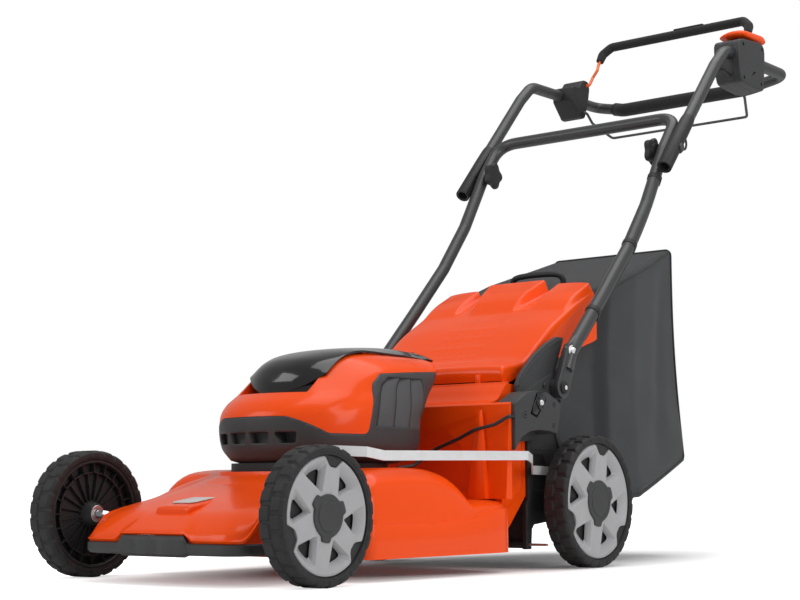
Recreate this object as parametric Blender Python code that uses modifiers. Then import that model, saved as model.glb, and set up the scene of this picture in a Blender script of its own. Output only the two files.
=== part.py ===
"""Cordless lawn mower with a folding handle and a rear grass bag, built as separate pieces.

Units are metres, +Z is up, the nose points along -Y and the operator stands at +Y.
Heights are above the ground. Lengths along Y are first given from the front wheels' axle,
and the whole mower is then centred over the world origin.
"""

import math

import bmesh
import bpy
from mathutils import Matrix, Vector

# Gaps between neighbouring pieces
SEAT_GAP = 0.0003
RUNNING_GAP = 0.0006

# Wheels and stance
OVERALL_WIDTH = 0.535
WHEELBASE = 0.718
FRONT_WHEEL_RADIUS = 0.100
REAR_WHEEL_RADIUS = 0.115
TYRE_WIDTH = 0.045
TYRE_DEPTH = 0.0145
TREAD_GROOVE = 0.0028
FRONT_TREAD_BLOCKS = 18
REAR_TREAD_BLOCKS = 20
RIM_RIBS = 13
RIM_LIP = 0.005
HUB_RADIUS = 0.019
SPOKE_COUNT = 6
TRIM_THICKNESS = 0.005
CAP_RADIUS = 0.026
CAP_THICKNESS = 0.004

# Bent axle rods that set the cutting height
AXLE_RADIUS = 0.006
FRONT_PIVOT_BACK = 0.050
FRONT_PIVOT_HEIGHT = 0.090
LINK_ARM = 0.060
LINK_THICKNESS = 0.003
LINK_HEIGHT = 0.015
LINK_PIN_RADIUS = 0.004
LINK_TOP_FRONT = 0.187
LINK_TOP_REAR = 0.192

# Deck moulding
DECK_WALL = 0.004
DECK_BOTTOM = 0.0335
NOSE_FRONT = -0.088
NOSE_BOTTOM = 0.0608
NOSE_PAD_HALF = 0.034
ARCH_REAR = 0.124
ARCH_FRONT = -0.068
ARCH_HEIGHT = 0.104
DECK_REAR = 0.528
SHELF_HEIGHT = 0.120
SEAT_HEIGHT = 0.160
BUMPER_CENTRE_HALF = 0.0685
BUMPER_CENTRE_RISE = 0.011
BUMPER_HEIGHT = 0.0175
BUMPER_DEPTH = 0.010

# Blade and motor
BLADE_Y = 0.295
BLADE_RADIUS = 0.215
BLADE_WIDTH = 0.052
BLADE_THICKNESS = 0.003
BLADE_HEIGHT = 0.043
SHAFT_RADIUS = 0.008
MOTOR_RADIUS = 0.060
MOTOR_HEIGHT = 0.048
MOTOR_PLATE = 0.004

# Battery housing
HOUSING_BOTTOM = 0.1790
HOUSING_HALF_WIDTH = 0.142
HOUSING_FRONT = 0.110
HOUSING_REAR = 0.412
LID_HALF_WIDTH = 0.0738
LID_WALL = 0.004
LID_HINGE_Y = 0.484
LID_HINGE_Z = 0.364
PACK_LENGTH = 0.200
PACK_WIDTH = 0.088
PACK_HEIGHT = 0.062

# Rear tower, hood and bag
TOWER_REAR = 0.600
WING_REAR = 0.495
TOWER_ROOF = 0.3165
HOOD_WALL = 0.0035
HOOD_HINGE_Y = 0.570
HOOD_HINGE_Z = 0.338
HOOD_PIN_RADIUS = 0.003
BAG_WALL = 0.004
BAG_REAR = 1.2135
BAG_TOP = 0.627
BAG_SHEAR = 0.0365
BAG_LOW_REAR = 0.193
SKIRT_ROD_Y = 0.6015
SKIRT_ROD_Z = 0.042

# Handle
TUBE_RADIUS = 0.0125
PIVOT_Y = 0.674
PIVOT_Z = 0.313
PIVOT_PIN_RADIUS = 0.006
FOOT_RADIUS = 0.019
KNOB_Y = 1.057
KNOB_Z = 0.802
KNOB_BOLT_RADIUS = 0.004
KNOB_RADIUS = 0.021
GRIP_RADIUS = 0.0165
GRIP_Y = 1.545
GRIP_Z = 1.030
LEVEL_FRONT = (1.282, 1.048)
LEVEL_REAR = (1.568, 1.052)
START_PIVOT_Y = 1.460
START_PIVOT_Z = 1.080
DRIVE_PIVOT_Y = 1.440
DRIVE_PIVOT_Z = 1.012
START_WIRE_RADIUS = 0.0035
START_GRIP_RADIUS = 0.0105
DRIVE_WIRE_RADIUS = 0.003
CABLE_RADIUS = 0.003

# Derived places
WHEEL_X = OVERALL_WIDTH / 2 - TYRE_WIDTH / 2
CRANK_X = WHEEL_X - 0.0365
LINK_X_INNER = WHEEL_X - 0.0405
LINK_X_OUTER = WHEEL_X - 0.002
SKIRT_HALF_WIDTH = WHEEL_X - 0.010
NOSE_HALF_WIDTH = WHEEL_X - 0.077
TOWER_HALF_WIDTH = WHEEL_X - 0.055
TUNNEL_HALF_WIDTH = WHEEL_X - 0.069
HOOD_HALF_WIDTH = WHEEL_X - 0.070
CARRIER_X = WHEEL_X - 0.0588
BRACKET_X = WHEEL_X - 0.049
LOWER_TUBE_X = WHEEL_X - 0.027
UPPER_TUBE_X = WHEEL_X - 0.0015
CLAMP_X = WHEEL_X - 0.039
EAR_X = HOOD_HALF_WIDTH - 0.0535
BAG_HALF_WIDTH = HOOD_HALF_WIDTH - 0.0070
FRONT_WHEEL = (0.0, FRONT_WHEEL_RADIUS)
REAR_WHEEL = (WHEELBASE, REAR_WHEEL_RADIUS)
FRONT_PIVOT = (FRONT_PIVOT_BACK, FRONT_PIVOT_HEIGHT)
CRANK_RISE = FRONT_WHEEL_RADIUS - FRONT_PIVOT_HEIGHT
REAR_PIVOT = (WHEELBASE + FRONT_PIVOT_BACK, REAR_WHEEL_RADIUS - CRANK_RISE)
HANDLE_REAR = GRIP_Y + 0.030
MIDDLE_Y = (HANDLE_REAR - FRONT_WHEEL_RADIUS) / 2

# Colours as linear RGB, with roughness and metallic
FINISHES = {
    "orange_plastic": ((0.90, 0.115, 0.012), 0.30, 0.0),
    "orange_paint": ((0.85, 0.16, 0.03), 0.40, 0.0),
    "charcoal_plastic": ((0.055, 0.057, 0.060), 0.55, 0.0),
    "black_plastic": ((0.022, 0.022, 0.023), 0.50, 0.0),
    "gloss_black": ((0.010, 0.010, 0.011), 0.12, 0.0),
    "trim_grey": ((0.48, 0.48, 0.49), 0.45, 0.0),
    "tyre_rubber": ((0.025, 0.025, 0.026), 0.85, 0.0),
    "foam_grip": ((0.020, 0.020, 0.021), 0.90, 0.0),
    "tube_paint": ((0.060, 0.062, 0.065), 0.45, 0.3),
    "bright_steel": ((0.72, 0.72, 0.73), 0.28, 1.0),
    "dark_steel": ((0.10, 0.10, 0.11), 0.40, 1.0),
    "motor_alloy": ((0.45, 0.45, 0.46), 0.40, 1.0),
    "bag_fabric": ((0.045, 0.046, 0.048), 0.95, 0.0),
}

# Bodies of the mower: parent body and the place of its pivot (x, y, z)
BODIES = {
    "chassis": (None, (0.0, 0.0, 0.0)),
    "front_axle": ("chassis", (0.0, *FRONT_PIVOT)),
    "rear_axle": ("chassis", (0.0, *REAR_PIVOT)),
    "height_link": ("front_axle", (LINK_X_INNER, FRONT_PIVOT[0], FRONT_PIVOT[1] + LINK_ARM)),
    "wheel_front_left": ("front_axle", (WHEEL_X, *FRONT_WHEEL)),
    "wheel_front_right": ("front_axle", (-WHEEL_X, *FRONT_WHEEL)),
    "wheel_rear_left": ("rear_axle", (WHEEL_X, *REAR_WHEEL)),
    "wheel_rear_right": ("rear_axle", (-WHEEL_X, *REAR_WHEEL)),
    "blade": ("chassis", (0.0, BLADE_Y, BLADE_HEIGHT)),
    "battery_lid": ("chassis", (0.0, LID_HINGE_Y, LID_HINGE_Z)),
    "rear_hood": ("chassis", (0.0, HOOD_HINGE_Y, HOOD_HINGE_Z)),
    "grass_bag": ("chassis", (0.0, TOWER_REAR, 0.30)),
    "lower_handle": ("chassis", (0.0, PIVOT_Y, PIVOT_Z)),
    "upper_handle": ("lower_handle", (0.0, KNOB_Y, KNOB_Z)),
    "knob_left": ("lower_handle", (LOWER_TUBE_X, KNOB_Y, KNOB_Z)),
    "knob_right": ("lower_handle", (-LOWER_TUBE_X, KNOB_Y, KNOB_Z)),
    "start_bail": ("upper_handle", (0.0, START_PIVOT_Y, START_PIVOT_Z)),
    "drive_bail": ("upper_handle", (0.0, DRIVE_PIVOT_Y, DRIVE_PIVOT_Z)),
}

PARTS = None
CUTTERS = None
ANCHORS = {}


# Scene set-up


def clear_scene():
    for obj in list(bpy.data.objects):
        bpy.data.objects.remove(obj, do_unlink=True)


def new_collection(name):
    group = bpy.data.collections.new(name)
    bpy.context.scene.collection.children.link(group)
    return group


def make_anchors():
    """One empty for each body, on its joint's axis, under the body that carries it."""
    origin = bpy.data.objects.new("mower_origin", None)
    origin.location = (0.0, -MIDDLE_Y, 0.0)
    PARTS.objects.link(origin)
    for body, (parent, place) in BODIES.items():
        anchor = bpy.data.objects.new("pivot_" + body, None)
        PARTS.objects.link(anchor)
        anchor.parent = ANCHORS[parent] if parent else origin
        base = Vector(BODIES[parent][1]) if parent else Vector()
        anchor.location = Vector(place) - base
        ANCHORS[body] = anchor


def finish_material(name):
    material = bpy.data.materials.get(name)
    if material is None:
        colour, roughness, metallic = FINISHES[name]
        material = bpy.data.materials.new(name)
        material.use_nodes = True
        shader = material.node_tree.nodes["Principled BSDF"]
        shader.inputs["Base Color"].default_value = (*colour, 1.0)
        shader.inputs["Roughness"].default_value = roughness
        shader.inputs["Metallic"].default_value = metallic
        material.diffuse_color = (*colour, 1.0)
    return material


def settle(obj, name, finish, body="chassis"):
    """Names a piece, gives it its material and hangs it on its body."""
    obj.name = name
    obj.data.name = name
    obj.data.materials.clear()
    obj.data.materials.append(finish_material(finish))
    for group in list(obj.users_collection):
        group.objects.unlink(obj)
    PARTS.objects.link(obj)
    hang(obj, body)
    obj.data.shade_smooth()
    obj.data.set_sharp_from_angle(angle=math.radians(35))
    return obj


def hang(obj, body):
    """Puts a piece, and the guides of its Booleans, under the body's anchor."""
    obj.parent = ANCHORS[body]
    obj.location = obj.location - Vector(BODIES[body][1])
    for step in obj.modifiers:
        if step.type == "BOOLEAN":
            hang(step.object, body)


# Shape tools


def object_from_bmesh(bm, name="shape"):
    bmesh.ops.recalc_face_normals(bm, faces=bm.faces)
    mesh = bpy.data.meshes.new(name)
    bm.to_mesh(mesh)
    bm.free()
    obj = bpy.data.objects.new(name, mesh)
    CUTTERS.objects.link(obj)
    return obj


def block(size, centre, bevel=0.0):
    """A box, with chamfered edges if bevel is given."""
    bm = bmesh.new()
    bmesh.ops.create_cube(bm, size=1.0)
    bmesh.ops.scale(bm, vec=size, verts=bm.verts)
    obj = object_from_bmesh(bm)
    obj.location = centre
    if bevel:
        add_bevel(obj, bevel)
    return obj


def add_bevel(obj, width, segments=1, angle=30.0):
    bevel = obj.modifiers.new("edge", "BEVEL")
    bevel.width = width
    bevel.segments = segments
    bevel.limit_method = "ANGLE"
    bevel.angle_limit = math.radians(angle)
    return bevel


def rod(radius, start, end, sides=14, end_radius=None):
    """A straight cylinder or cone between two points."""
    start = Vector(start)
    end = Vector(end)
    bm = bmesh.new()
    bmesh.ops.create_cone(
        bm,
        cap_ends=True,
        segments=sides,
        radius1=radius,
        radius2=radius if end_radius is None else end_radius,
        depth=(end - start).length,
    )
    turn = Vector((0, 0, 1)).rotation_difference(end - start).to_matrix().to_4x4()
    bmesh.ops.transform(bm, matrix=turn, verts=bm.verts)
    obj = object_from_bmesh(bm)
    obj.location = (start + end) / 2
    return obj


def stack(rings, closed=False):
    """A solid through rings of points. If closed, the last ring joins the first again."""
    bm = bmesh.new()
    loops = [[bm.verts.new(point) for point in ring] for ring in rings]
    count = len(loops[0])
    pairs = list(zip(loops, loops[1:]))
    if closed:
        pairs.append((loops[-1], loops[0]))
    for low, high in pairs:
        for i in range(count):
            j = (i + 1) % count
            bm.faces.new((low[i], low[j], high[j], high[i]))
    if not closed:
        bm.faces.new(loops[0])
        bm.faces.new(loops[-1])
    bmesh.ops.triangulate(bm, faces=[face for face in bm.faces if len(face.verts) == 4])
    return object_from_bmesh(bm)


def sheet(rows, thickness, wrap=False):
    """A shell of even thickness under a grid of points, given row by row."""
    bm = bmesh.new()
    grid = [[bm.verts.new(point) for point in row] for row in rows]
    width = len(grid[0])
    for near, far in zip(grid, grid[1:]):
        for i in range(width if wrap else width - 1):
            j = (i + 1) % width
            bm.faces.new((near[i], near[j], far[j], far[i]))
    mesh = bpy.data.meshes.new("sheet")
    bm.to_mesh(mesh)
    bm.free()
    obj = bpy.data.objects.new("sheet", mesh)
    CUTTERS.objects.link(obj)
    if thickness:
        shell = obj.modifiers.new("wall", "SOLIDIFY")
        shell.thickness = thickness
        shell.offset = -1.0
        shell.use_even_offset = True
        shell.use_quality_normals = True
    return obj


def prism(outline, low, high, axis="X"):
    """A flat outline in the plane across the axis, pulled from low to high along it."""
    bm = bmesh.new()

    def place(u, v, w):
        if axis == "X":
            return (w, u, v)
        if axis == "Y":
            return (u, w, v)
        return (u, v, w)

    lower = [bm.verts.new(place(u, v, low)) for u, v in outline]
    upper = [bm.verts.new(place(u, v, high)) for u, v in outline]
    count = len(outline)
    for i in range(count):
        j = (i + 1) % count
        bm.faces.new((lower[i], lower[j], upper[j], upper[i]))
    bm.faces.new(lower)
    bm.faces.new(upper)
    return object_from_bmesh(bm)


def arc(centre, radius, start, end, steps):
    """Points along an arc, with the angles in degrees."""
    points = []
    for i in range(steps + 1):
        angle = math.radians(start + (end - start) * i / steps)
        points.append((centre[0] + radius * math.cos(angle), centre[1] + radius * math.sin(angle)))
    return points


def bend(points, radius, steps=3):
    """Rounds the inner corners of a path of 3-D points, with more steps for sharper turns."""
    points = [Vector(p) for p in points]
    path = [points[0]]
    for before, corner, after in zip(points, points[1:], points[2:]):
        back = (before - corner).normalized()
        ahead = (after - corner).normalized()
        half = back.angle(ahead) / 2
        turn = 180 - math.degrees(2 * half)
        if turn < 14:
            path.append(corner)
            continue
        reach = min(radius / math.tan(half), 0.45 * (before - corner).length, 0.45 * (after - corner).length)
        first = corner + back * reach
        last = corner + ahead * reach
        pieces = max(1, min(steps, round(turn / 22)))
        for i in range(pieces + 1):
            t = i / pieces
            path.append(first * (1 - t) ** 2 + corner * 2 * t * (1 - t) + last * t**2)
    path.append(points[-1])
    return path


def tube(points, radius, sides=8):
    """A round bar along a path, made as a curve and turned into a closed mesh."""
    curve = bpy.data.curves.new("path", "CURVE")
    curve.dimensions = "3D"
    curve.bevel_depth = radius
    curve.bevel_resolution = {6: 1, 8: 2, 10: 3, 12: 4}[sides]
    curve.use_fill_caps = True
    spline = curve.splines.new("POLY")
    spline.points.add(len(points) - 1)
    for knot, place in zip(spline.points, points):
        knot.co = (*place, 1.0)
    guide = bpy.data.objects.new("path", curve)
    CUTTERS.objects.link(guide)
    bpy.context.view_layer.update()
    evaluated = guide.evaluated_get(bpy.context.evaluated_depsgraph_get())
    mesh = bpy.data.meshes.new_from_object(evaluated)
    bm = bmesh.new()
    bm.from_mesh(mesh)
    bmesh.ops.remove_doubles(bm, verts=bm.verts, dist=0.00002)
    bmesh.ops.recalc_face_normals(bm, faces=bm.faces)
    bm.to_mesh(mesh)
    bm.free()
    obj = bpy.data.objects.new("tube", mesh)
    obj.matrix_world = guide.matrix_world
    CUTTERS.objects.link(obj)
    bpy.data.objects.remove(guide, do_unlink=True)
    return obj


def combine(obj, other, operation):
    """Keeps other as a hidden guide and adds the Boolean to obj."""
    other.hide_render = True
    other.display_type = "WIRE"
    other.name = "guide_" + operation.lower()
    step = obj.modifiers.new(operation.lower(), "BOOLEAN")
    step.operation = operation
    step.solver = "EXACT"
    step.object = other
    return obj


def cut(obj, other):
    return combine(obj, other, "DIFFERENCE")


def join(obj, other):
    return combine(obj, other, "UNION")


def both_sides(path):
    """A path from the left end to the middle, carried on to its mirror image on the right."""
    right = [(-x, y, z) for x, y, z in reversed(path)]
    return path + right


def face_outward(obj, side):
    """Turns a wheel piece built about Z so that its outer face looks along X to its side."""
    obj.rotation_euler = (0.0, math.radians(90 * side), 0.0)
    return obj


# Wheels


def tyre(radius, blocks):
    """A tyre ring whose tread blocks are parted by notches across its width."""
    bead = radius - TYRE_DEPTH
    half = TYRE_WIDTH / 2
    pitch = 2 * math.pi / blocks
    flat = 0.36 * pitch
    crown = radius / math.cos(flat)
    rings = []
    for k in range(blocks):
        middle = k * pitch
        for angle, drop in ((middle - flat, 0.0), (middle + flat, 0.0), (middle + pitch / 2, TREAD_GROOVE)):
            section = (
                (bead, -half + 0.003),
                (crown - 0.009, -half),
                (crown - drop, -half + 0.008),
                (crown - drop, half - 0.008),
                (crown - 0.009, half),
                (bead, half - 0.003),
            )
            rings.append([(r * math.cos(angle), r * math.sin(angle), h) for r, h in section])
    return stack(rings, closed=True)


def rim(radius, blocks):
    """The black wheel body: bored hub, dished disc, lip, and radial ribs on its inner face."""
    outer = (radius - TYRE_DEPTH) * math.cos(0.36 * 2 * math.pi / blocks) - SEAT_GAP
    bore = AXLE_RADIUS + RUNNING_GAP
    half = TYRE_WIDTH / 2
    rings = []
    for k in range(2 * RIM_RIBS):
        angle = math.pi * k / RIM_RIBS
        rib = 0.007 if k % 2 == 0 else 0.0
        section = (
            (bore, 0.010),
            (outer - RIM_LIP, 0.010),
            (outer, 0.014),
            (outer, -half + 0.003),
            (outer - RIM_LIP, -half + 0.003),
            (outer - RIM_LIP - 0.004, -0.004 - rib),
            (HUB_RADIUS + 0.004, -0.004 - rib),
            (HUB_RADIUS, -half - 0.001),
            (bore, -half - 0.001),
        )
        rings.append([(r * math.cos(angle), r * math.sin(angle), h) for r, h in section])
    return stack(rings, closed=True)


def trim(radius):
    """The grey spoked disc, with six bevelled windows and three notches in its rim."""
    outer = radius - TYRE_DEPTH - 0.0015
    curve = bpy.data.curves.new("trim", "CURVE")
    curve.dimensions = "2D"
    curve.fill_mode = "BOTH"
    curve.extrude = TRIM_THICKNESS / 2
    notch = 0.10
    edge = []
    for k in range(3):
        start = 360 * k / 3
        edge += arc((0, 0), outer, start + 12, start + 108, 6)
        middle = math.radians(start + 120)
        for turn in (-notch, notch):
            inner = outer - 0.010
            edge.append((inner * math.cos(middle + turn), inner * math.sin(middle + turn)))
    loops = [edge]
    for k in range(SPOKE_COUNT):
        middle = 360 / SPOKE_COUNT * (k + 0.5)
        reach = math.radians(17)
        far = 0.86 * outer
        near = 0.43 * outer
        angle = math.radians(middle)
        loops.append(
            [
                (far * math.cos(angle - reach), far * math.sin(angle - reach)),
                (far * math.cos(angle + reach), far * math.sin(angle + reach)),
                (near * math.cos(angle + 0.05), near * math.sin(angle + 0.05)),
                (near * math.cos(angle - 0.05), near * math.sin(angle - 0.05)),
            ]
        )
    for loop in loops:
        spline = curve.splines.new("POLY")
        spline.points.add(len(loop) - 1)
        spline.use_cyclic_u = True
        for knot, (x, y) in zip(spline.points, loop):
            knot.co = (x, y, 0.0, 1.0)
    guide = bpy.data.objects.new("trim", curve)
    CUTTERS.objects.link(guide)
    bpy.context.view_layer.update()
    evaluated = guide.evaluated_get(bpy.context.evaluated_depsgraph_get())
    mesh = bpy.data.meshes.new_from_object(evaluated)
    bm = bmesh.new()
    bm.from_mesh(mesh)
    bmesh.ops.remove_doubles(bm, verts=bm.verts, dist=0.00002)
    bmesh.ops.translate(bm, vec=(0, 0, 0.014 + SEAT_GAP + TRIM_THICKNESS / 2), verts=bm.verts)
    bmesh.ops.recalc_face_normals(bm, faces=bm.faces)
    bm.to_mesh(mesh)
    bm.free()
    obj = bpy.data.objects.new("trim", mesh)
    CUTTERS.objects.link(obj)
    bpy.data.objects.remove(guide, do_unlink=True)
    return obj


def cap():
    """The three-lobed centre cap."""
    base = 0.014 + 2 * SEAT_GAP + TRIM_THICKNESS
    rings = []
    for scale, height in ((1.0, base), (1.0, base + 0.002), (0.85, base + CAP_THICKNESS - 0.001)):
        ring = []
        for k in range(18):
            angle = 2 * math.pi * k / 18
            reach = CAP_RADIUS * (1 + 0.10 * math.cos(3 * angle)) * scale
            ring.append((reach * math.cos(angle), reach * math.sin(angle), height))
        rings.append(ring)
    return stack(rings)


def make_wheels():
    for row, (y, z), radius, blocks in (
        ("front", FRONT_WHEEL, FRONT_WHEEL_RADIUS, FRONT_TREAD_BLOCKS),
        ("rear", REAR_WHEEL, REAR_WHEEL_RADIUS, REAR_TREAD_BLOCKS),
    ):
        for side, label in ((1, "left"), (-1, "right")):
            body = f"wheel_{row}_{label}"
            for piece, finish, shape in (
                ("tyre", "tyre_rubber", tyre(radius, blocks)),
                ("rim", "black_plastic", rim(radius, blocks)),
                ("trim", "trim_grey", trim(radius)),
                ("hubcap", "charcoal_plastic", cap()),
            ):
                face_outward(shape, side)
                shape.location = (side * WHEEL_X, y, z)
                settle(shape, f"{piece}_{row}_{label}", finish, body)


# Axles and height link


def bent_axle(wheel, pivot):
    """One steel rod with stubs, cranks and a cross shaft, and the lever welded to it."""
    end = WHEEL_X + 0.012
    half = [(end, *wheel), (CRANK_X, *wheel), (CRANK_X, *pivot)]
    axle = tube(bend(both_sides(half), 0.009, 2), AXLE_RADIUS, 10)
    return join(axle, link_lever(pivot))


def link_lever(pivot):
    """The plate round the cross shaft, with the pin that carries the height link."""
    plate_in = LINK_X_INNER - LINK_THICKNESS / 2 - SEAT_GAP - 0.005
    plate_out = plate_in + 0.005
    y, z = pivot
    outline = arc((y, z), 0.013, 180, 360, 6) + arc((y, z + LINK_ARM), 0.009, 0, 180, 5)
    lever = prism(outline, plate_in, plate_out)
    inside, outside = plate_in + 0.001, LINK_X_INNER + 0.0035
    pin = rod(LINK_PIN_RADIUS, (inside, y, z + LINK_ARM), (outside, y, z + LINK_ARM), 12)
    return join(lever, pin)


def height_link():
    """The flat bright bar, jogged outward past the deck, with an eye at each end."""
    front_y, front_z = FRONT_PIVOT[0], FRONT_PIVOT[1] + LINK_ARM
    rear_y, rear_z = REAR_PIVOT[0], REAR_PIVOT[1] + LINK_ARM
    spine = [
        (LINK_X_INNER, front_y - 0.010, front_z),
        (LINK_X_INNER, front_y + 0.011, front_z + 0.006),
        (LINK_X_INNER, front_y + 0.026, front_z + 0.044),
        (LINK_X_OUTER - 0.002, front_y + 0.062, front_z + 0.042),
        (LINK_X_OUTER, front_y + 0.100, LINK_TOP_FRONT),
        (LINK_X_OUTER, rear_y - 0.238, LINK_TOP_REAR),
        (LINK_X_OUTER - 0.006, rear_y - 0.216, LINK_TOP_REAR - 0.006),
        (LINK_X_INNER, rear_y - 0.168, rear_z + 0.004),
        (LINK_X_INNER, rear_y - 0.020, rear_z),
        (LINK_X_INNER, rear_y + 0.010, rear_z),
    ]
    half_t = LINK_THICKNESS / 2
    half_h = LINK_HEIGHT / 2
    rings = []
    for x, y, z in spine:
        rings.append(
            [
                (x - half_t, y, z - half_h),
                (x + half_t, y, z - half_h),
                (x + half_t, y, z + half_h),
                (x - half_t, y, z + half_h),
            ]
        )
    bar = stack(rings)
    hole = LINK_PIN_RADIUS + RUNNING_GAP
    for y, z in ((front_y, front_z), (rear_y, rear_z)):
        cut(bar, rod(hole, (LINK_X_INNER - 0.01, y, z), (LINK_X_INNER + 0.01, y, z), 12))
    return bar


def make_axles():
    settle(bent_axle(FRONT_WHEEL, FRONT_PIVOT), "front_axle_rod", "bright_steel", "front_axle")
    settle(bent_axle(REAR_WHEEL, REAR_PIVOT), "rear_axle_rod", "bright_steel", "rear_axle")
    settle(height_link(), "height_link_bar", "bright_steel", "height_link")


# Deck


def crest(y):
    """Height of the deck's crown along its length."""
    stations = (
        (-0.095, 0.080),
        (-0.070, 0.092),
        (-0.040, 0.106),
        (0.050, 0.128),
        (0.110, 0.150),
        (0.200, 0.168),
        (0.300, 0.169),
        (0.350, 0.160),
        (0.377, 0.146),
        (0.404, SHELF_HEIGHT),
        (0.700, SHELF_HEIGHT),
    )
    for (y0, z0), (y1, z1) in zip(stations, stations[1:]):
        if y <= y1:
            return z0 + (z1 - z0) * max(0.0, y - y0) / (y1 - y0)
    return stations[-1][1]


def deck_outline(inset, front, rear, arch_rear):
    """Half the deck's plan, from the nose's middle round to the rear's middle."""
    nose = NOSE_HALF_WIDTH - inset
    skirt = SKIRT_HALF_WIDTH - inset
    points = [(0.0, front)]
    points.append((BUMPER_CENTRE_HALF, front + 0.001))
    points.append((BUMPER_CENTRE_HALF + 0.012, front + 0.0015))
    corner = 0.030
    points += arc((nose - corner, front + 0.008 + corner), corner, -90, 0, 3)
    start = front + 0.008 + corner
    points += [(nose, start + (0.070 - start) * 0.18), (nose, start + (0.070 - start) * 0.45), (nose, 0.070)]
    points += [(nose, arch_rear), (skirt - 0.014, arch_rear), (skirt, arch_rear + 0.014)]
    points += [(skirt, 0.300), (skirt, rear - 0.098), (skirt, rear - 0.062)]
    points += [(skirt, rear - 0.045), (skirt - 0.018, rear - 0.018), (skirt - 0.070, rear - 0.004)]
    points += [(0.090, rear), (0.0, rear)]
    return points


def oval(half_width, front, rear, like):
    """A rounded ring with as many points as the deck's half plan, spaced alike in angle."""
    middle = (front + rear) / 2
    reach = (rear - front) / 2
    points = []
    for x, y in like:
        angle = math.atan2(x / SKIRT_HALF_WIDTH, (y - middle) / 0.30)
        s, c = math.sin(angle), math.cos(angle)
        scale = (abs(s) ** 3 + abs(c) ** 3) ** (-1 / 3)
        points.append((half_width * s * scale, middle + reach * c * scale))
    return points


def bottom_height(x, y):
    """Height of the deck's lower edge: over the bumper, up over the arches, low on the skirt."""
    if y < ARCH_FRONT:
        if x <= BUMPER_CENTRE_HALF + 0.001 and y < NOSE_FRONT + 0.020:
            return NOSE_BOTTOM + BUMPER_CENTRE_RISE
        return NOSE_BOTTOM
    if x < NOSE_HALF_WIDTH + 0.001 and y < ARCH_REAR - 0.010:
        rise = (y - ARCH_FRONT) / 0.034
        return NOSE_BOTTOM + (min(ARCH_HEIGHT, crest(y) - 0.012) - NOSE_BOTTOM) * min(1.0, rise)
    return DECK_BOTTOM


def deck_rows(wall):
    """Rings of the deck from its lower edge up to the motor's hole, set in by the wall."""
    plan = deck_outline(0.0, NOSE_FRONT + 0.004, DECK_REAR, ARCH_REAR)
    low = [bottom_height(x, y) for x, y in plan]
    belt = [max(0.085 if y > 0.1 else 0.079, z + 0.006) for (x, y), z in zip(plan, low)]
    rows = []
    for inset, front, rear, share in (
        (0.000, NOSE_FRONT + 0.004, DECK_REAR, None),
        (0.000, NOSE_FRONT, DECK_REAR, 0.0),
        (0.003, NOSE_FRONT + 0.008, DECK_REAR - 0.001, 0.55),
        (0.012, NOSE_FRONT + 0.022, DECK_REAR - 0.004, 0.88),
        (0.040, NOSE_FRONT + 0.048, DECK_REAR - 0.014, 1.0),
        (0.047, NOSE_FRONT + 0.058, DECK_REAR - 0.068, 1.0),
    ):
        skin = deck_outline(inset, front, rear, ARCH_REAR + inset)
        ring = deck_outline(inset + wall, front + wall, rear - wall, ARCH_REAR + inset + wall)
        row = []
        for (x, y), (_, along), bottom, middle in zip(ring, skin, low, belt):
            if share is None:
                row.append((x, y, bottom))
            else:
                row.append((x, y, middle + (crest(along) - wall * share - middle) * share))
        rows.append(row)
    for half_width, front, rear in ((0.116, 0.114, 0.402), (0.088, 0.146, 0.370)):
        rows.append([(x, y, SEAT_HEIGHT - wall) for x, y in oval(half_width, front, rear, plan)])
    return rows


def deck_shell():
    """The moulded deck: nose, wheel arches, skirt, crown and the motor's seat."""
    rings = []
    for row in deck_rows(0.0) + deck_rows(DECK_WALL)[::-1]:
        rings.append(row + [(-x, y, z) for x, y, z in reversed(row[1:-1])])
    shell = join(stack(rings, closed=True), nose_pad())
    width = 2 * TUNNEL_HALF_WIDTH - 0.020
    return cut(shell, block((width, 0.0523, 0.0705), (0, DECK_REAR - 0.0137, SHELF_HEIGHT - 0.0127)))


def nose_pad():
    """The raised wedge in the middle of the nose, whose foot ends inside the deck's wall."""
    front, back = NOSE_FRONT + 0.040, NOSE_FRONT + 0.166
    side = [(front, crest(front) - 0.0028), (front, 0.1030), (front + 0.0035, 0.1125)]
    side += [(front + 0.0160, 0.1160), (back, crest(back) - 0.0008), (back, crest(back) - 0.0028)]
    side += [(0.052, crest(0.052) - 0.0028)]
    pad = prism(side, -NOSE_PAD_HALF, NOSE_PAD_HALF)
    add_bevel(pad, 0.0012)
    return pad


def front_baffle():
    """The wall between the nose and the blade's space, with the two clips of the front shaft."""
    nose = NOSE_HALF_WIDTH - DECK_WALL - SEAT_GAP
    rings = []
    for x, y, xi, yi, top in (
        (nose, 0.122, nose - 0.004, 0.122, 0.0840),
        (nose, 0.085, nose - 0.004, 0.087, 0.0990),
        (nose - 0.0157, 0.0675, nose - 0.0174, 0.0715, 0.102),
        (nose - 0.0437, 0.0675, nose - 0.0437, 0.0715, 0.124),
    ):
        low = DECK_BOTTOM + 0.003
        rings.append([(x, y, low), (x, y, top), (xi, yi, top), (xi, yi, low)])
    mirrored = [[(-x, y, z) for x, y, z in ring] for ring in reversed(rings)]
    wall = stack(rings + mirrored)
    y, z = FRONT_PIVOT
    for x in (0.0437 - nose, nose - 0.0437):
        join(wall, block((0.030, 0.032, 0.030), (x, y + 0.0045, z)))
    return cut(wall, rod(AXLE_RADIUS + RUNNING_GAP, (-nose, y, z), (nose, y, z), 12))


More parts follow.
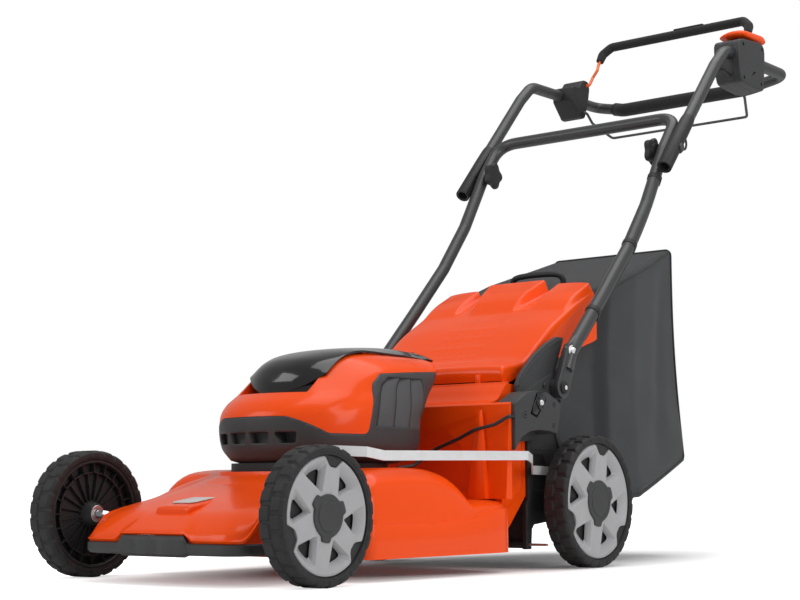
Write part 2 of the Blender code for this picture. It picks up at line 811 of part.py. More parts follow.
def bumper():
    """The charcoal strip under the nose, taller and prouder in the middle."""
    plan = deck_outline(0.0, NOSE_FRONT + 0.004, DECK_REAR, ARCH_REAR)[:7]
    inner = deck_outline(BUMPER_DEPTH, NOSE_FRONT + 0.004 + BUMPER_DEPTH, DECK_REAR, ARCH_REAR)[:7]
    rings = []
    for (x, y), (xi, yi) in zip(plan, inner):
        centre = x <= BUMPER_CENTRE_HALF + 0.001
        proud = 0.004 if centre else 0.0
        high = NOSE_BOTTOM - SEAT_GAP + (BUMPER_CENTRE_RISE if centre else 0.0)
        low = NOSE_BOTTOM - BUMPER_HEIGHT - (0.003 if centre else 0.0)
        rings.append([(x, y - proud, low), (x, y - proud, high), (xi, yi, high), (xi, yi, low)])
    mirrored = [[(-x, y, z) for x, y, z in ring] for ring in reversed(rings[1:])]
    return stack(mirrored + rings)


def make_deck():
    settle(deck_shell(), "deck_shell", "orange_plastic")
    settle(front_baffle(), "deck_baffle", "orange_plastic")
    settle(bumper(), "front_bumper", "charcoal_plastic")


# Motor and blade


def ring_of(half_width, front, rear, z, front_power=2.6, rear_power=2.6, count=24):
    """A level rounded ring about the mower's middle line, squarer where the power is higher."""
    middle = (front + rear) / 2
    reach = (rear - front) / 2
    points = []
    for k in range(count):
        angle = 2 * math.pi * k / count
        s, c = math.sin(angle), math.cos(angle)
        power = rear_power if c > 0 else front_power
        scale = (abs(s) ** power + abs(c) ** power) ** (-1 / power)
        points.append((half_width * s * scale, middle + reach * c * scale, z))
    return points


def motor():
    """The motor can on its mounting plate, with a bore for the blade's shaft."""
    base = SEAT_HEIGHT + SEAT_GAP
    plate = stack([ring_of(0.094, 0.140, 0.376, z, 3, 3) for z in (base, base + MOTOR_PLATE)])
    top = base + MOTOR_PLATE + MOTOR_HEIGHT
    join(plate, rod(MOTOR_RADIUS, (0, BLADE_Y, base + 0.001), (0, BLADE_Y, top), 24))
    return cut(plate, rod(SHAFT_RADIUS + RUNNING_GAP, (0, BLADE_Y, 0.1), (0, BLADE_Y, top - 0.012), 12))


def neck():
    """The black collar between the deck and the battery housing."""
    low = SEAT_HEIGHT + SEAT_GAP
    high = HOUSING_BOTTOM - SEAT_GAP
    shell = stack([ring_of(0.101, 0.131, 0.386, z, 3, 3) for z in (low, high)])
    return cut(shell, stack([ring_of(0.0955, 0.1382, 0.3785, z, 3, 3) for z in (low - 0.01, high + 0.01)]))


def blade_shaft():
    """The driven shaft with its flange above the blade, and the bolt head below it."""
    top = BLADE_HEIGHT + BLADE_THICKNESS / 2 - 0.0005
    rings = []
    for radius, z in ((0.028, top), (0.028, top + 0.006), (SHAFT_RADIUS, top + 0.010), (SHAFT_RADIUS, 0.190)):
        rings.append([(radius * math.cos(a), BLADE_Y + radius * math.sin(a), z) for a in angles(12)])
    shaft = stack(rings)
    under = BLADE_HEIGHT - BLADE_THICKNESS / 2 + 0.0005
    return join(shaft, rod(0.012, (0, BLADE_Y, under - 0.006), (0, BLADE_Y, under), 6))


def angles(count):
    return [2 * math.pi * k / count for k in range(count)]


def blade_bar():
    """The blade: a flat bar with its trailing edges lifted at the two ends."""
    half = BLADE_WIDTH / 2
    low = BLADE_HEIGHT - BLADE_THICKNESS / 2
    high = low + BLADE_THICKNESS
    lift = 0.014
    rings = []
    for x in (-BLADE_RADIUS, -0.140, -0.125, 0.125, 0.140, BLADE_RADIUS):
        front = lift if x < -0.13 else 0.0
        rear = lift if x > 0.13 else 0.0
        section = (
            (-half, low + front),
            (-0.012, low),
            (0.012, low),
            (half, low + rear),
            (half, high + rear),
            (0.012, high),
            (-0.012, high),
            (-half, high + front),
        )
        rings.append([(x, BLADE_Y + y, z) for y, z in section])
    return stack(rings)


def make_drive():
    settle(motor(), "drive_motor", "motor_alloy")
    settle(neck(), "housing_neck", "black_plastic")
    settle(join(blade_bar(), blade_shaft()), "blade", "dark_steel", "blade")


# Battery housing


def housing_form():
    """The whole rounded body of the housing, before it is split into base and cover."""
    rings = []
    for half_width, front, rear, z in (
        (0.101, 0.135, 0.385, HOUSING_BOTTOM),
        (0.118, 0.123, 0.400, HOUSING_BOTTOM + 0.004),
        (0.138, 0.113, 0.410, 0.205),
        (HOUSING_HALF_WIDTH, HOUSING_FRONT, HOUSING_REAR, 0.250),
        (0.141, 0.124, 0.424, 0.272),
        (0.137, 0.152, 0.438, 0.292),
        (0.127, 0.186, 0.470, 0.324),
        (0.107, 0.206, 0.490, 0.346),
        (0.082, 0.222, 0.490, 0.357),
        (0.045, 0.245, 0.470, 0.362),
    ):
        rings.append(ring_of(half_width, front, rear, z, 2.15, 5.0))
    return stack(rings)


def split_line():
    """Side outline of everything below the joint between the charcoal base and the orange cover."""
    top = [(0.05, 0.250), (0.125, 0.250), (0.170, 0.2235), (0.237, 0.2225), (0.247, 0.262), (0.264, 0.305)]
    top += [(0.286, 0.3215), (0.384, 0.329), (0.52, 0.338)]
    return top + [(0.52, 0.10), (0.05, 0.10)]


def lid_slot(gap):
    """The opening in the top of the housing that the lid closes."""
    outline = [(0.080, 0.2890), (0.214, 0.2890), (0.240, 0.316), (0.440, 0.341), (0.520, 0.353)]
    outline += [(0.520, 0.420), (0.080, 0.420)]
    return prism(outline, -LID_HALF_WIDTH - gap, LID_HALF_WIDTH + gap)


def battery_bay():
    return block((PACK_WIDTH + 0.003, PACK_LENGTH + 0.004, 0.20), (0, 0.320, 0.2345 + 0.10))


def housing_base():
    """The charcoal lower half, with the motor's cavity, the bay, the intake and the side louvres."""
    base = housing_form()
    combine(base, prism(split_line(), -0.2, 0.2), "INTERSECT")
    cut(base, rod(MOTOR_RADIUS + 0.004, (0, BLADE_Y, 0.17), (0, BLADE_Y, 0.216), 24))
    cut(base, battery_bay())
    cut(base, lid_slot(SEAT_GAP))
    for x in (-0.052, -0.017, 0.017, 0.052):
        cut(base, block((0.024, 0.034, 0.018), (x, 0.119, 0.212)))
    for side in (-1, 1):
        for k in range(5):
            y = 0.284 + 0.021 * k
            lean = 0.010
            top = 0.303 + 0.004 * k
            slot = [(y, 0.228), (y + 0.009, 0.228), (y + 0.009 + lean, top), (y + lean, top)]
            cut(base, prism(slot, side * 0.150, side * 0.122))
    return base


def housing_cover():
    """The orange upper half with the slot for the lid and the two posts of its hinge."""
    cover = housing_form()
    below = [(y, z + SEAT_GAP) for y, z in split_line()[:-2]] + [(0.52, 0.10), (0.05, 0.10)]
    cut(cover, prism(below, -0.2, 0.2))
    cut(cover, lid_slot(SEAT_GAP))
    cut(cover, battery_bay())
    for x in (-0.023, 0.023):
        join(cover, block((0.008, 0.007, 0.0265), (x, LID_HINGE_Y, LID_HINGE_Z - 0.01025)))
    return join(cover, rod(0.002, (-0.040, LID_HINGE_Y, LID_HINGE_Z), (0.040, LID_HINGE_Y, LID_HINGE_Z), 8))


def battery_lid():
    """The gloss lid: a crowned panel that wraps down at the front, with two knuckles at the rear."""
    profile = [
        (0.1700, 0.2900),
        (0.1725, 0.3130),
        (0.1860, 0.3360),
        (0.2140, 0.3515),
        (0.2810, 0.3670),
        (0.4000, 0.3770),
        (0.4930, 0.3755),
    ]
    rows = []
    for k, (y, z) in enumerate(profile):
        row = []
        wrap = (0.032, 0.034, 0.032, 0.024, 0.008, 0.0, 0.0)[k]
        fall = (0.0, 0.011, 0.022, 0.022, 0.015, 0.018, 0.018)[k]
        for share in (-1.0, -0.82, -0.5, 0.0, 0.5, 0.82, 1.0):
            bow = abs(share) ** 2.4
            row.append((LID_HALF_WIDTH * share, y + wrap * bow, z - fall * bow))
        rows.append(row)
    lid = sheet(rows, LID_WALL)
    for x in (-0.033, 0.033):
        join(lid, block((0.008, 0.010, 0.014), (x, LID_HINGE_Y, LID_HINGE_Z + 0.0025)))
    hole = rod(0.002 + RUNNING_GAP, (-0.05, LID_HINGE_Y, LID_HINGE_Z), (0.05, LID_HINGE_Y, LID_HINGE_Z), 12)
    return cut(lid, hole)


def battery_pack():
    """The removable battery with a finger grip across its top."""
    low = 0.2345 + SEAT_GAP
    pack = block((PACK_WIDTH, PACK_LENGTH, PACK_HEIGHT), (0, 0.320, low + PACK_HEIGHT / 2), 0.004)
    return cut(pack, block((PACK_WIDTH + 0.01, 0.030, 0.030), (0, 0.260, low + PACK_HEIGHT)))


def make_housing():
    settle(housing_base(), "housing_base", "charcoal_plastic")
    settle(housing_cover(), "housing_cover", "orange_plastic")
    settle(battery_lid(), "battery_lid", "gloss_black", "battery_lid")
    settle(battery_pack(), "battery_pack", "black_plastic")


# Rear tower, brackets and guard


def rear_tower():
    """The orange wall behind the housing with the mouth for the bag, its ribs and the hood's pins."""
    outline = [(0.478, 0.1203), (0.529, 0.1203), (0.529, 0.072), (0.545, 0.068), (TOWER_REAR, 0.125)]
    outline += [(TOWER_REAR, TOWER_ROOF - 0.004), (0.556, TOWER_ROOF), (0.546, 0.3150)]
    outline += [(0.515, 0.285), (0.490, 0.279)]
    tower = prism(outline, -SKIRT_HALF_WIDTH, SKIRT_HALF_WIDTH)
    for side in (-1, 1):
        cut(tower, block((0.10, 0.20, 0.40), (side * (TOWER_HALF_WIDTH + 0.05), WING_REAR + 0.10, 0.20)))
    tunnel = [(0.496, 0.110), (0.533, 0.0785), (0.610, 0.1405), (0.610, 0.298), (0.556, 0.303)]
    cut(tower, prism(tunnel + [(0.520, 0.274), (0.500, 0.266)], -TUNNEL_HALF_WIDTH, TUNNEL_HALF_WIDTH))
    reach = TUNNEL_HALF_WIDTH - 0.016
    arch = [(reach * math.cos(a), 0.150 + 0.115 * math.sin(a)) for a in (math.pi * k / 10 for k in range(11))]
    cut(tower, prism(arch + [(-reach, 0.132), (reach, 0.132)], 0.470, 0.487, "Y"))
    for side in (-1, 1):
        near, far = side * (TOWER_HALF_WIDTH - 0.030), side * (TOWER_HALF_WIDTH + 0.010)
        foot = [(near, 0.466), (far, 0.466), (far, 0.480), (near, 0.480)]
        near, far = side * (TOWER_HALF_WIDTH - 0.012), side * (TOWER_HALF_WIDTH - 0.004)
        tip = [(near, 0.475), (far, 0.475), (far, 0.480), (near, 0.480)]
        join(tower, stack([[(x, y, 0.1203) for x, y in foot], [(x, y, 0.268) for x, y in tip]]))
        ear = [(0.566, 0.308), (0.575, 0.308)] + arc((HOOD_HINGE_Y, HOOD_HINGE_Z), 0.0058, 0, 180, 5)
        join(tower, prism(ear, side * EAR_X, side * (EAR_X + 0.008)))
        ends = [(side * x, HOOD_HINGE_Y, HOOD_HINGE_Z) for x in (EAR_X + 0.002, EAR_X + 0.022)]
        join(tower, rod(HOOD_PIN_RADIUS, *ends, 12))
    return tower


def side_carrier(side):
    """The plate behind the tower that holds the rear cross shaft and the guard's rod."""
    outline = [(0.6003, 0.300), (0.6003, 0.119), (0.594, 0.112), (0.594, 0.034), (0.609, 0.034)]
    outline += [(0.613, 0.075), (0.755, 0.089), (0.784, 0.094), (0.786, 0.118), (0.765, 0.140)]
    outline += [(0.690, 0.250), (0.660, 0.300)]
    plate = prism(outline, side * CARRIER_X, side * (BRACKET_X - SEAT_GAP))
    near, far = side * (CARRIER_X - 0.016), side * (CARRIER_X + 0.034)
    cut(plate, rod(AXLE_RADIUS + RUNNING_GAP, (near, *REAR_PIVOT), (far, *REAR_PIVOT), 16))
    ends = [(near, SKIRT_ROD_Y, SKIRT_ROD_Z), (far, SKIRT_ROD_Y, SKIRT_ROD_Z)]
    return cut(plate, rod(0.0025 + SEAT_GAP, *ends, 10))


def fold_bracket(side):
    """The bracket that the lower handle folds on, with its boss and the block in front."""
    front = WING_REAR + SEAT_GAP
    plate = [(front, 0.212), (front, 0.275), (0.545, 0.298), (0.585, 0.305), (0.640, 0.330), (0.695, 0.350)]
    plate += [(0.709, 0.330), (0.704, 0.292), (0.660, 0.250), (0.613, 0.220)]
    bracket = prism(plate, side * BRACKET_X, side * (BRACKET_X + 0.0085))
    flange = [(front, 0.219), (front, 0.2790), (0.532, 0.308), (0.556, 0.319), (0.596, 0.314), (0.622, 0.289)]
    flange += [(0.640, 0.262), (0.613, 0.238), (0.585, 0.244), (0.545, 0.238)]
    join(bracket, prism(flange, side * (BRACKET_X + 0.0081), side * (BRACKET_X + 0.047)))
    shelf = [(0.486, 0.2788), (0.5097, 0.2844), (0.520, 0.2844), (0.520, 0.296), (0.494, 0.290)]
    join(bracket, prism(shelf, side * (BRACKET_X + 0.011), side * (BRACKET_X + 0.040)))
    ends = [(side * x, PIVOT_Y, PIVOT_Z) for x in (BRACKET_X + 0.004, BRACKET_X + 0.0155)]
    join(bracket, rod(0.017, *ends, 16))
    ends = [(side * x, PIVOT_Y, PIVOT_Z) for x in (BRACKET_X + 0.003, BRACKET_X + 0.034)]
    cut(bracket, rod(PIVOT_PIN_RADIUS + SEAT_GAP, *ends, 16))
    recess = [(0.540, 0.262), (0.560, 0.256), (0.588, 0.286), (0.580, 0.304), (0.560, 0.300)]
    return cut(bracket, prism(recess, side * (BRACKET_X + 0.036), side * (BRACKET_X + 0.054)))


def lock_lever(side):
    """The small lever in the bracket's recess that locks the folded handle."""
    outline = [(0.5445, 0.264), (0.557, 0.2605), (0.583, 0.287), (0.578, 0.3005), (0.562, 0.297)]
    return prism(outline, side * (BRACKET_X + 0.036 + SEAT_GAP), side * (BRACKET_X + 0.0515))


def rear_flap():
    """The rubber guard behind the mouth, with a sleeve round its rod."""
    half = CARRIER_X - 0.002
    flap = block((2 * half, 0.003, 0.083), (0, 0.6065, 0.0765))
    join(flap, rod(0.0062, (-half, SKIRT_ROD_Y, SKIRT_ROD_Z), (half, SKIRT_ROD_Y, SKIRT_ROD_Z), 10))
    ends = ((-CARRIER_X, SKIRT_ROD_Y, SKIRT_ROD_Z), (CARRIER_X, SKIRT_ROD_Y, SKIRT_ROD_Z))
    return cut(flap, rod(0.0025 + SEAT_GAP, *ends, 10))


def make_rear():
    settle(rear_tower(), "rear_tower", "orange_plastic")
    for side, label in ((1, "left"), (-1, "right")):
        settle(side_carrier(side), "side_carrier_" + label, "black_plastic")
        settle(fold_bracket(side), "fold_bracket_" + label, "black_plastic")
        settle(lock_lever(side), "lock_lever_" + label, "charcoal_plastic")
    settle(rear_flap(), "rear_flap", "black_plastic")
    reach = SKIRT_HALF_WIDTH - 0.001
    ends = ((-reach, SKIRT_ROD_Y, SKIRT_ROD_Z), (reach, SKIRT_ROD_Y, SKIRT_ROD_Z))
    settle(rod(0.0025, *ends, 10), "guard_rod", "bright_steel")


# Hood


def between(stations, at):
    """Value at a place between stations, which hold (place, value) pairs."""
    for (a, va), (b, vb) in zip(stations, stations[1:]):
        if at <= b:
            return va + (vb - va) * max(0.0, at - a) / (b - a)
    return stations[-1][1]


def hood():
    """The orange hood over the bag's mouth, with raised pads, side walls and two hinge lugs."""
    stations = [
        (0.5560, 0.3265, 0.3260, 0.5600, 0.3190),
        (0.5545, 0.3370, 0.3350, 0.5640, 0.3192),
        (0.5590, 0.3475, 0.3440, 0.5690, 0.3195),
        (0.5730, 0.3530, 0.3495, 0.5780, 0.3205),
        (0.6000, 0.3575, 0.3530, 0.6010, 0.3300),
        (0.6270, 0.3660, 0.3600, 0.6270, 0.3385),
        (0.6660, 0.3960, 0.3890, 0.6660, 0.3510),
        (0.7150, 0.4340, 0.4270, 0.7150, 0.3665),
        (0.7650, 0.4640, 0.4570, 0.7650, 0.3820),
        (0.7930, 0.4790, 0.4720, 0.7930, 0.3905),
        (0.8150, 0.4900, 0.4830, 0.8150, 0.3975),
        (0.8600, 0.5110, 0.5040, 0.8600, 0.4120),
    ]
    swell = [(0.765, 0.0), (0.793, 0.014), (0.815, 0.021), (0.860, 0.025)]
    wide = HOOD_HALF_WIDTH
    pads = [(0.0, 1.0), (0.050, 1.0), (0.064, 0.0), (0.54 * wide, 0.0), (0.64 * wide, 0.6)]
    pads += [(0.87 * wide, 0.6), (0.95 * wide, 0.0), (2 * wide, 0.0)]
    columns = [0.0, 0.050, 0.064, 0.54 * wide, 0.64 * wide, 0.87 * wide, 0.95 * wide, wide]
    rows = []
    for y, crown, edge, low_y, low_z in stations:
        half = []
        for x in columns:
            share = (x / wide) ** 6
            z = crown * (1 - share) + edge * share + between(swell, y) * between(pads, x)
            if x == wide:
                z -= 0.0015 if y < 0.557 else 0.006
            half.append((x, y, z))
        half.append((wide, low_y, low_z))
        rows.append([(-x, y2, z) for x, y2, z in reversed(half[1:])] + half)
    rows.append([(x, y + 0.006, z - (0.008 if z > 0.42 else -0.004)) for x, y, z in rows[-1]])
    shell = sheet(rows, HOOD_WALL)
    for side in (-1, 1):
        lug = [(0.5655, 0.3325), (0.5745, 0.3325), (0.5745, 0.3515), (0.5655, 0.3480)]
        join(shell, prism(lug, side * (EAR_X + 0.011), side * (EAR_X + 0.018)))
        cut(shell, block((0.014, 0.014, 0.024), (side * (EAR_X + 0.004), 0.5570, 0.3220)))
    ends = ((-EAR_X - 0.024, HOOD_HINGE_Y, HOOD_HINGE_Z), (EAR_X + 0.024, HOOD_HINGE_Y, HOOD_HINGE_Z))
    return cut(shell, rod(HOOD_PIN_RADIUS + RUNNING_GAP, *ends, 12))


# Grass bag


def bag_ring(half_width, low, high, y, inset=0.0, corner=0.030, sheared=False):
    """A rounded upright ring of the bag."""
    w = half_width - inset
    z0, z1 = low + inset, high - inset
    c = corner - inset / 2
    points = []
    centres = [(w - c, z1 - c), (-w + c, z1 - c), (-w + c, z0 + c), (w - c, z0 + c)]
    for centre, start in zip(centres, (0, 90, 180, 270)):
        points += arc(centre, c, start, start + 90, 2)
    ring = []
    for x, z in points:
        lean = BAG_SHEAR * (BAG_TOP - z) / (BAG_TOP - BAG_LOW_REAR) if sheared else 0.0
        ring.append((x, y + lean, z))
    return ring


def grass_bag():
    """The bag as one plain shell with its open mouth against the tower."""
    stations = [
        (TOWER_REAR + SEAT_GAP, BAG_HALF_WIDTH, 0.1300, 0.3140),
        (TOWER_REAR + 0.0135, BAG_HALF_WIDTH, 0.1300, 0.3140),
        (0.6600, BAG_HALF_WIDTH + 0.0005, 0.1280, 0.3700),
        (0.7200, BAG_HALF_WIDTH + 0.0005, 0.1260, 0.4200),
        (0.7800, BAG_HALF_WIDTH + 0.0005, 0.1240, 0.4570),
        (0.8700, BAG_HALF_WIDTH + 0.0005, 0.1180, 0.4970),
        (0.9000, BAG_HALF_WIDTH + 0.0170, 0.1175, 0.5180),
        (1.0000, BAG_HALF_WIDTH + 0.0170, 0.1170, 0.5560),
        (1.1000, BAG_HALF_WIDTH, 0.1450, 0.5895),
    ]
    outer = [bag_ring(w, low, high, y) for y, w, low, high in stations]
    rear = BAG_HALF_WIDTH - 0.0260
    outer.append(bag_ring(rear, BAG_LOW_REAR, BAG_TOP, BAG_REAR, sheared=True))
    inner = [bag_ring(w, low, high, y, BAG_WALL) for y, w, low, high in stations]
    inner.append(bag_ring(rear, BAG_LOW_REAR, BAG_TOP, BAG_REAR - BAG_WALL, BAG_WALL, sheared=True))
    return stack(inner[::-1] + outer)


def bag_frame():
    """The stiff rim round the bag's mouth."""
    near, far = TOWER_REAR + SEAT_GAP, TOWER_REAR + 0.012
    frame = stack([bag_ring(BAG_HALF_WIDTH + 0.0070, 0.1265, 0.3160, y, corner=0.020) for y in (near, far)])
    hole = [bag_ring(BAG_HALF_WIDTH + 0.0005, 0.1295, 0.3145, y) for y in (near - 0.01, far + 0.02)]
    return cut(frame, stack(hole))


def bag_handle():
    """The lifting handle on the bag's top."""
    path = [(-0.060, 0.935, 0.510), (-0.060, 0.925, 0.566), (0.060, 0.925, 0.566), (0.060, 0.935, 0.510)]
    handle = tube(bend(path, 0.015, 2), 0.006, 8)
    top = [(0.90, 0.5180), (1.00, 0.5560), (1.00, 0.40), (0.90, 0.40)]
    return cut(handle, prism([(y, z + SEAT_GAP) for y, z in top], -0.2, 0.2))


def make_bag():
    settle(hood(), "rear_hood", "orange_plastic", "rear_hood")
    settle(grass_bag(), "grass_bag", "bag_fabric", "grass_bag")
    settle(bag_frame(), "bag_frame", "black_plastic", "grass_bag")
    settle(bag_handle(), "bag_handle", "black_plastic", "grass_bag")


# Handle


def lower_tube():
    """The lower U-shaped tube with flat feet, drilled for the pivot pins and the clamp bolts."""
    x = LOWER_TUBE_X
    side = [
        (x, 0.690, 0.346),
        (x, 0.707, 0.380),
        (x, 0.809, 0.482),
        (x, 0.910, 0.586),
        (x, 0.985, 0.682),
        (x, KNOB_Y, KNOB_Z),
        (x, 1.117, 0.880),
        (0.0, 1.117, 0.880),
    ]
    path = both_sides(side[:-1])
    frame = tube(bend(path, 0.055, 3), TUBE_RADIUS, 10)
    for s in (-1, 1):
        foot = arc((PIVOT_Y, PIVOT_Z), FOOT_RADIUS, 155, 336, 8)
        foot += [(0.718, 0.368), (0.712, 0.392), (0.690, 0.386), (0.678, 0.362)]
        join(frame, prism(foot, s * (x - 0.006), s * (x + 0.006)))
        ends = ((s * (x - 0.03), PIVOT_Y, PIVOT_Z), (s * (x + 0.03), PIVOT_Y, PIVOT_Z))
        cut(frame, rod(PIVOT_PIN_RADIUS + RUNNING_GAP, *ends, 16))
        ends = ((s * (x - 0.03), KNOB_Y, KNOB_Z), (s * (x + 0.03), KNOB_Y, KNOB_Z))
        cut(frame, rod(KNOB_BOLT_RADIUS + SEAT_GAP, *ends, 12))
    return frame


def pivot_pin(side):
    """The headed pin that the lower handle folds on."""
    ends = [(side * x, PIVOT_Y, PIVOT_Z) for x in (BRACKET_X + 0.004, LOWER_TUBE_X + 0.008)]
    pin = rod(PIVOT_PIN_RADIUS, *ends, 16)
    ends = [(side * x, PIVOT_Y, PIVOT_Z) for x in (LOWER_TUBE_X + 0.0066, LOWER_TUBE_X + 0.0116)]
    return join(pin, rod(0.011, *ends, 12))


def clamp_bolt(side):
    """The bolt through both tubes that the knob is screwed on."""
    ends = [(side * x, KNOB_Y, KNOB_Z) for x in (LOWER_TUBE_X - 0.0255, UPPER_TUBE_X + 0.0145)]
    bolt = rod(KNOB_BOLT_RADIUS, *ends, 12)
    ends = [(side * x, KNOB_Y, KNOB_Z) for x in (UPPER_TUBE_X + 0.0131, UPPER_TUBE_X + 0.0181)]
    return join(bolt, rod(0.009, *ends, 6))


def knob(side):
    """The five-lobed clamp knob on the inner side."""
    rings = []
    for scale, depth in ((0.60, 0.0), (0.62, 0.004), (1.0, 0.006), (1.0, 0.014), (0.86, 0.017)):
        ring = []
        for a in angles(20):
            reach = KNOB_RADIUS * scale * (1 + 0.12 * math.cos(5 * a) * (scale > 0.7))
            y, z = KNOB_Y + reach * math.cos(a), KNOB_Z + reach * math.sin(a)
            ring.append((side * (LOWER_TUBE_X - 0.013 - depth), y, z))
        rings.append(ring)
    body = stack(rings)
    ends = [(side * x, KNOB_Y, KNOB_Z) for x in (LOWER_TUBE_X - 0.0258, LOWER_TUBE_X + 0.002)]
    return cut(body, rod(KNOB_BOLT_RADIUS + SEAT_GAP, *ends, 12))


def upper_path():
    """Centre line of the upper tube from its lower left end to its lower right end."""
    x = UPPER_TUBE_X
    side = [
        (x, 1.014, 0.758),
        (x, 1.102, 0.857),
        (x, 1.237, 1.008),
        (x, *LEVEL_FRONT),
        (x, *LEVEL_REAR),
        (x - 0.0615, 1.559, 1.038),
        (x - 0.0855, GRIP_Y, GRIP_Z),
    ]
    return both_sides(side)


def upper_tube():
    frame = tube(bend(upper_path(), 0.050, 3), TUBE_RADIUS, 10)
    for s in (-1, 1):
        ends = [(s * x, KNOB_Y, KNOB_Z) for x in (UPPER_TUBE_X - 0.0235, UPPER_TUBE_X + 0.0265)]
        cut(frame, rod(KNOB_BOLT_RADIUS + RUNNING_GAP, *ends, 12))
    return frame


def rear_grip():
    end = UPPER_TUBE_X - 0.1035
    grip = rod(GRIP_RADIUS, (-end, GRIP_Y, GRIP_Z), (end, GRIP_Y, GRIP_Z), 16)
    bore = ((-end - 0.01, GRIP_Y, GRIP_Z), (end + 0.01, GRIP_Y, GRIP_Z))
    return cut(grip, rod(TUBE_RADIUS + SEAT_GAP, *bore, 16))


def pivot_holes(housing, side):
    """Holes in a clamp's inner face for the two bails, and the bore for the upper tube."""
    x = side * UPPER_TUBE_X
    cut(housing, rod(TUBE_RADIUS + SEAT_GAP, (x, *LEVEL_FRONT), (x, *LEVEL_REAR), 16))
    for (y, z), radius in (
        ((START_PIVOT_Y, START_PIVOT_Z), START_WIRE_RADIUS),
        ((DRIVE_PIVOT_Y, DRIVE_PIVOT_Z), DRIVE_WIRE_RADIUS),
    ):
        ends = ((side * (CLAMP_X - 0.016), y, z), (side * (CLAMP_X + 0.014), y, z))
        cut(housing, rod(radius + RUNNING_GAP, *ends, 10))
    return housing


def control_box():
    """The switch box on the left of the handle, with four screw holes."""
    outline = [(1.305, 1.025), (1.316, 0.986), (1.400, 0.980), (1.452, 0.994), (1.470, 1.030), (1.474, 1.075)]
    outline += [(1.466, 1.092), (1.440, 1.094), (1.330, 1.082), (1.305, 1.066)]
    box = prism(outline, CLAMP_X, CLAMP_X + 0.0605)
    add_bevel(box, 0.004)
    pivot_holes(box, 1)
    for y, z in ((1.322, 1.000), (1.440, 1.002), (1.325, 1.072), (1.448, 1.083)):
        cut(box, rod(0.0032, (CLAMP_X + 0.0555, y, z), (CLAMP_X + 0.070, y, z), 8))
    return box


def handle_clamp():
    """The clamp on the right of the handle that carries the bails' other ends."""
    outline = [(1.396, 1.0325), (1.424, 1.004), (1.436, 0.998), (1.450, 1.001), (1.462, 1.030)]
    outline += [(1.473, 1.072), (1.468, 1.090), (1.450, 1.092), (1.428, 1.070), (1.396, 1.0675)]
    clamp = prism(outline, -CLAMP_X - 0.054, -CLAMP_X)
    add_bevel(clamp, 0.004)
    return pivot_holes(clamp, -1)


def start_lever():
    """The orange thumb lever on top of the switch box."""
    outline = [(1.375, 1.0900), (1.452, 1.0952), (1.458, 1.1030), (1.440, 1.1085), (1.380, 1.1000)]
    lever = prism(outline, CLAMP_X - 0.010, CLAMP_X + 0.046)
    add_bevel(lever, 0.003)
    return lever


def start_wire():
    """The orange wire of the start bail, turned out into the clamps at its ends."""
    return tube(bend(both_sides(start_path()), 0.006, 1), START_WIRE_RADIUS, 8)


def start_path():
    """Left half of the start bail's centre line, from its pivot up to the straight bar."""
    return [
        (CLAMP_X + 0.0090, START_PIVOT_Y, START_PIVOT_Z),
        (CLAMP_X - 0.0075, START_PIVOT_Y, START_PIVOT_Z),
        (CLAMP_X - 0.0075, 1.476, 1.102),
        (CLAMP_X - 0.0200, 1.477, 1.118),
        (CLAMP_X - 0.0130, 1.493, 1.134),
        (CLAMP_X - 0.0160, 1.509, 1.163),
        (CLAMP_X - 0.0340, 1.520, 1.180),
    ]


def start_cover():
    """The black foam on the start bail's straight bar, with a raised pad on top."""
    route = [Vector(point) for point in start_path()[-3:]]
    first = route[0].lerp(route[1], 0.35)
    foam = tube(bend(both_sides([first, *route[1:]]), 0.010, 1), START_GRIP_RADIUS, 12)
    join(foam, block((0.075, 0.013, 0.004), (0.035, 1.520, 1.180 + START_GRIP_RADIUS)))
    return cut(foam, tube(bend(both_sides(route), 0.006, 1), START_WIRE_RADIUS + 2 * SEAT_GAP, 8))


def drive_wire():
    """The thin bail under the grip that engages the drive."""
    side = [
        (CLAMP_X + 0.0090, DRIVE_PIVOT_Y, DRIVE_PIVOT_Z),
        (CLAMP_X - 0.0100, DRIVE_PIVOT_Y, DRIVE_PIVOT_Z),
        (CLAMP_X - 0.0100, 1.466, 0.990),
        (CLAMP_X - 0.0320, 1.520, 0.960),
    ]
    return tube(bend(both_sides(side), 0.010, 2), DRIVE_WIRE_RADIUS, 8)


# Cables


def chassis_cable():
    """From under the housing over the tower's left rib to the fold bracket."""
    route = [
        (0.070, 0.398, 0.1722),
        (0.080, 0.430, 0.1760),
        (0.1016, 0.4580, 0.2028),
        (0.1500, 0.4640, 0.2210),
        (BRACKET_X - 0.0140, 0.4650, 0.2350),
        (BRACKET_X + 0.0190, 0.4760, 0.2430),
        (BRACKET_X + 0.0435, 0.4820, 0.2565),
        (BRACKET_X + 0.0435, WING_REAR - SEAT_GAP, 0.2570),
    ]
    return tube(bend(route, 0.012, 1), CABLE_RADIUS, 8)


def lower_cable():
    """Along the back of the left lower tube."""
    x = LOWER_TUBE_X
    away = TUBE_RADIUS + CABLE_RADIUS - SEAT_GAP
    route = []
    line = [(KNOB_Y - 0.021, KNOB_Z - 0.035), (0.985, 0.682), (0.910, 0.586), (0.809, 0.482), (0.742, 0.415)]
    for k, (y, z) in enumerate(line):
        y0, z0 = line[max(k - 1, 0)]
        y1, z1 = line[min(k + 1, len(line) - 1)]
        length = math.hypot(y1 - y0, z1 - z0)
        route.append((x, y + away * (z0 - z1) / length, z - away * (y0 - y1) / length))
    return tube(route, CABLE_RADIUS, 8)


